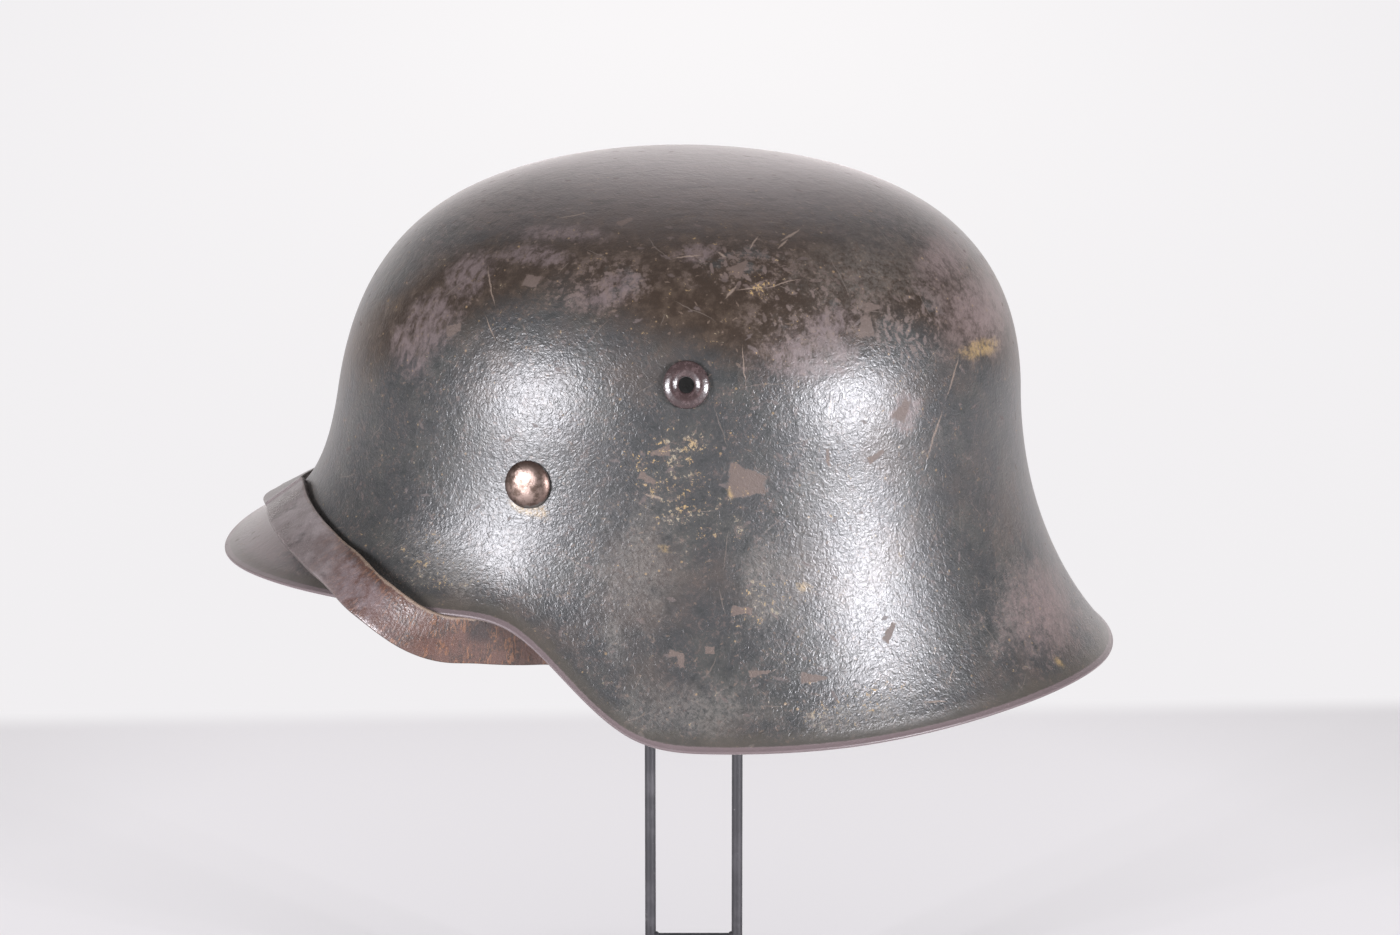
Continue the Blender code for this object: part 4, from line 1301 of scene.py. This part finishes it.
def build_pad(felt):
    """Domed felt pad under the crown, its edges rounded."""
    bottom = pad_underside()
    rings = [(share, 1) for share in (0.0, 0.2, 0.4, 0.6, 0.8, 0.93, 0.98, 1.0)]
    rings += [(1.0, level) for level in (0.75, 0.5, 0.25, 0.08)]
    rings += [(share, 0) for share in (0.98, 0.93, 0.6, 0.25, 0.0)]
    loops = []
    for share, level in rings:
        rounding = PAD_ROUNDING * max(0, (share - 0.9) / 0.1) ** 2
        loop = []
        for x, y, _ in circle(PAD_RADIUS * share, 0, PAD_SIDES):
            top = dome_height(x, y) - WALL - 3 * GAP
            z = bottom + (top - bottom) * level + (rounding if level < 0.5 else -rounding)
            loop.append((x, y, z))
        loops.append(loop)
    pad = link("crown_pad", grid("crown_pad", loops, caps=False), felt)
    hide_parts("stand_pad")


def bar(name, start, end, radius, segments=1):
    """Round rod between two points."""
    along = Vector(end) - Vector(start)
    loops = [circle(radius, along.length * s, ROUND_SIDES) for s in np.linspace(0, 1, segments + 1)]
    return stand_along(grid(name, loops), Vector(start), along)


def joined(name, meshes):
    """One mesh from several, which are removed."""
    bm = bmesh.new()
    for mesh in meshes:
        bm.from_mesh(mesh)
        bpy.data.meshes.remove(mesh)
    made = bpy.data.meshes.new(name)
    bm.to_mesh(made)
    bm.free()
    return shade(made)


def weld_bead(name, middle, axis, radius):
    """Small swollen ring where two rods are welded."""
    profile = [(radius * 0.9, -0.0011), (radius * 1.12, -0.0008), (radius * 1.28, -0.0003),
               (radius * 1.28, 0.0003), (radius * 1.12, 0.0008), (radius * 0.9, 0.0011)]
    mesh = grid(name, lathe(profile, ROUND_SIDES), closed_along=True)
    return stand_along(mesh, Vector(middle), Vector(axis))


def build_stand(wire):
    """Two uprights, their brace with its welds, and the round foot."""
    low, high = FOOT_THICKNESS - ROD_SEAT + GAP, pad_underside() + ROD_SEAT - GAP
    half = ROD_SPACING / 2
    meshes = [bar("upright", (x, 0, low), (x, 0, high), ROD_RADIUS, segments=12) for x in (-half, half)]
    meshes.append(bar("brace", (-half, 0, BRACE_HEIGHT), (half, 0, BRACE_HEIGHT), ROD_RADIUS * 0.9))
    for sign in (-1, 1):
        middle = (sign * (half - ROD_RADIUS), 0, BRACE_HEIGHT)
        meshes.append(weld_bead("bead", middle, (1, 0, 0), ROD_RADIUS * 0.95))
    rods = link("stand_rods", joined("stand_rods", meshes), wire)
    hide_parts("stand_frame")
    profile = [(0, 0), (FOOT_RADIUS - FOOT_LOWER_EDGE, 0), (FOOT_RADIUS, FOOT_LOWER_EDGE)]
    for t in np.linspace(0, math.pi / 2, 7):
        profile.append((FOOT_RADIUS - FOOT_CHAMFER * (1 - math.cos(t)),
                        FOOT_THICKNESS - FOOT_CHAMFER * (1 - math.sin(t))))
    profile += [(FOOT_RADIUS * s, FOOT_THICKNESS) for s in (0.9, 0.6, 0.3, 0)]
    foot = link("stand_plate", turned("stand_plate", profile, FOOT_SIDES), wire)
    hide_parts("stand_foot")


# Stage

def build_floor(stage):
    """Pale table whose far edge melts into an even, glowing backdrop."""
    finish = new_finish("pale_table")
    x, y, _ = finish.parts(finish.places)
    far = tuple(TABLE_FAR_GAIN * c for c in stage.floor_color)
    color = finish.blend(stage.floor_color, far, y.rise(0.02, 0.36))
    finish.surface(base_color=color, roughness=0.9, specular_ior_level=0.1)
    hazy = y.rise(0.4, 1.9) * abs(x).rise(0.55, 0.0)
    backdrop = finish.blend(stage.backdrop_color, TABLE_HAZE, hazy)
    glow = finish.node("ShaderNodeEmission", None, {"Color": backdrop, "Strength": 1.0})
    past_edge = (y - x * TABLE_EDGE_SLOPE).rise(TABLE_EDGE - TABLE_EDGE_BLUR, TABLE_EDGE + TABLE_EDGE_BLUR)
    camera_ray = finish.node("ShaderNodeLightPath", output="Is Camera Ray")
    far_off = finish.vector("LENGTH", finish.places, output="Value").rise(*TABLE_FADE) * camera_ray
    surface = Field(finish, finish.shader.outputs[0])
    mixed = finish.node("ShaderNodeMixShader", None, {0: past_edge | far_off, 1: surface, 2: glow})
    finish.feed(finish.tree.nodes["Material Output"].inputs["Surface"], mixed)
    reach = stage.floor_reach
    corners = [(-reach, -reach, 0), (reach, -reach, 0), (reach, reach, 0), (-reach, reach, 0)]
    mesh = new_mesh("table", corners, [(0, 1, 2, 3)])
    mesh.materials.append(finish.owner)
    table = add_object("table", mesh)
    table.location.z = -TABLE_SINK


def build_backdrop(stage):
    """Bright wall behind, dimmer room in front and above, and an even backdrop to look at."""
    world = bpy.data.worlds.new("studio")
    bpy.context.scene.world = world
    finish = Finish(world)
    _, y, z = finish.parts(finish.sibling(finish.places, "Generated"))
    behind = y.rise(0.55, 0.96) * (1 - z.rise(0.10, 0.50) * 0.65)
    level = ROOM_LEVEL + behind * BACK_WALL_LEVEL + z.rise(0.3, 1.0) * CEILING_LEVEL
    surroundings = finish.node("ShaderNodeBackground", None, {"Color": ROOM_COLOR, "Strength": level})
    seen = finish.node("ShaderNodeBackground", None, {"Color": stage.backdrop_color, "Strength": 1.0})
    camera_ray = finish.node("ShaderNodeLightPath", output="Is Camera Ray")
    mixed = finish.node("ShaderNodeMixShader", None, {0: camera_ray, 1: surroundings, 2: seen})
    finish.feed(finish.tree.nodes["World Output"].inputs["Surface"], mixed)


def build_softboxes(stage):
    target = Vector((0, 0, WAIST_Z))
    for row in rows(SOFTBOX_COLUMNS, SOFTBOXES):
        a, e = math.radians(row["azimuth"]), math.radians(row["elevation"])
        back = Vector((math.sin(a) * math.cos(e), -math.cos(a) * math.cos(e), math.sin(e)))
        light = bpy.data.lights.new(row["name"], "AREA")
        light.shape = "RECTANGLE"
        light.size, light.size_y = row["width"], row["height"]
        light.energy = stage.softbox_power * row["share"]
        light.color = SOFTBOX_COLOR
        obj = add_object(row["name"], light)
        obj.location = target + back * SOFTBOX_DISTANCE
        obj.rotation_euler = (-back).to_track_quat("-Z", "Y").to_euler()


def build_camera():
    elevation = math.radians(CAMERA_ELEVATION)
    camera = bpy.data.cameras.new("photo_camera")
    camera.lens = CAMERA_LENS
    camera.sensor_width = CAMERA_SENSOR
    obj = add_object("photo_camera", camera)
    back = Vector((0, -math.cos(elevation), math.sin(elevation)))
    obj.location = Vector(CAMERA_TARGET) + back * CAMERA_DISTANCE
    obj.rotation_euler = (math.pi / 2 - elevation, 0, 0)
    bpy.context.scene.camera = obj


# Add-on

class HelmetLooks(PropertyGroup):
    paint_color: FloatVectorProperty(
        name="Paint", description="Dark green paint of the shell", subtype="COLOR",
        default=(0.0255, 0.0260, 0.0265))
    brown_color: FloatVectorProperty(
        name="Brown bands", description="Camouflage bands on the dome", subtype="COLOR",
        default=(0.019, 0.0115, 0.007))
    leather_color: FloatVectorProperty(
        name="Leather", description="Red-brown of the strap", subtype="COLOR", default=(0.062, 0.032, 0.025))
    wire_color: FloatVectorProperty(
        name="Stand", description="Blackened steel of the stand", subtype="COLOR",
        default=(0.031, 0.030, 0.033))
    pebble_depth: FloatProperty(
        name="Pebble depth", description="Depth of the wrinkles in the paint", unit="LENGTH", default=0.00016)
    pebble_size: FloatProperty(
        name="Pebble size", description="Width of the wrinkles in the paint", unit="LENGTH", default=0.0014)
    gloss_roughness: FloatProperty(
        name="Paint roughness", description="Roughness of sound paint", subtype="FACTOR", default=0.34,
        min=0, max=1)
    dent_size: FloatProperty(
        name="Dent size", description="Width of the gentle waves in the steel", unit="LENGTH", default=0.035)
    dent_depth: FloatProperty(
        name="Dent depth", description="Depth of the gentle waves in the steel", unit="LENGTH",
        default=0.00012)
    shell_spokes: IntProperty(
        name="Spokes", description="Meridians of the shell", default=420, min=72)
    dome_rings: IntProperty(
        name="Dome rings", description="Rings from the crown to the waist", default=70, min=13)
    skirt_rings: IntProperty(
        name="Skirt rings", description="Rings from the waist to the rim", default=58, min=11)
    strap_sections: IntProperty(
        name="Strap sections", description="Sections along the strap", default=560, min=68)


class HelmetStage(PropertyGroup):
    backdrop_color: FloatVectorProperty(
        name="Backdrop", description="Even backdrop behind the table", subtype="COLOR",
        default=(0.880, 0.864, 0.880))
    floor_color: FloatVectorProperty(
        name="Table", description="Pale table top", subtype="COLOR", default=(0.755, 0.742, 0.740))
    floor_reach: FloatProperty(
        name="Table reach", description="Half the width of the table top", unit="LENGTH", default=4.0)
    softbox_power: FloatProperty(
        name="Softbox power", description="Power of each softbox", unit="POWER", default=60.0)


class HELMET_OT_build_shell(Operator):
    """Build the painted shell with its pressed vents"""
    bl_idname = "helmet.build_shell"
    bl_label = "Shell"

    def execute(self, context):
        looks = context.scene.helmet_looks
        build_shell(looks, build_paint(looks))
        return {"FINISHED"}


class HELMET_OT_build_rivets(Operator):
    """Build both domed rivets"""
    bl_idname = "helmet.build_rivets"
    bl_label = "Rivets"

    def execute(self, context):
        metal = build_rivet_metal()
        for side, sign in SIDES:
            build_rivet(side, sign, metal)
        return {"FINISHED"}


class HELMET_OT_build_strap(Operator):
    """Build the leather chin strap and finish its lugs"""
    bl_idname = "helmet.build_strap"
    bl_label = "Chin strap"

    def execute(self, context):
        looks = context.scene.helmet_looks
        build_strap(looks, build_leather(looks))
        build_lugs(build_lug_steel())
        return {"FINISHED"}


class HELMET_OT_build_stand(Operator):
    """Build the wire stand with its pad"""
    bl_idname = "helmet.build_stand"
    bl_label = "Stand"

    def execute(self, context):
        build_stand(build_wire(context.scene.helmet_looks))
        build_pad(build_felt())
        return {"FINISHED"}


class HELMET_OT_build_stage(Operator):
    """Set the table, backdrop, softboxes and camera"""
    bl_idname = "helmet.build_stage"
    bl_label = "Stage"

    def execute(self, context):
        stage = context.scene.helmet_stage
        context.scene.view_settings.view_transform = "Standard"
        build_floor(stage)
        build_backdrop(stage)
        build_softboxes(stage)
        build_camera()
        return {"FINISHED"}


class HELMET_PT_panel(Panel):
    """Everything that dresses the helmet"""
    bl_label = "Helmet"
    bl_idname = "HELMET_PT_panel"
    bl_space_type = "VIEW_3D"
    bl_region_type = "UI"
    bl_category = "Helmet"

    def draw(self, context):
        for group in (context.scene.helmet_looks, context.scene.helmet_stage):
            box = self.layout.box()
            for name in group.__annotations__:
                box.prop(group, name)
        for operator in OPERATORS:
            self.layout.operator(operator.bl_idname)


OPERATORS = (HELMET_OT_build_stage, HELMET_OT_build_shell, HELMET_OT_build_rivets, HELMET_OT_build_strap,
             HELMET_OT_build_stand)
CLASSES = (HelmetLooks, HelmetStage, *OPERATORS, HELMET_PT_panel)


def register():
    for cls in CLASSES:
        bpy.utils.register_class(cls)
    bpy.types.Scene.helmet_looks = PointerProperty(type=HelmetLooks)
    bpy.types.Scene.helmet_stage = PointerProperty(type=HelmetStage)


def unregister():
    del bpy.types.Scene.helmet_stage
    del bpy.types.Scene.helmet_looks
    for cls in reversed(CLASSES):
        bpy.utils.unregister_class(cls)


def main():
    register()
    bpy.ops.helmet.build_stage()
    bpy.ops.helmet.build_shell()
    bpy.ops.helmet.build_rivets()
    bpy.ops.helmet.build_strap()
    bpy.ops.helmet.build_stand()
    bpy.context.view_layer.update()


if __name__ == "__main__":
    main()
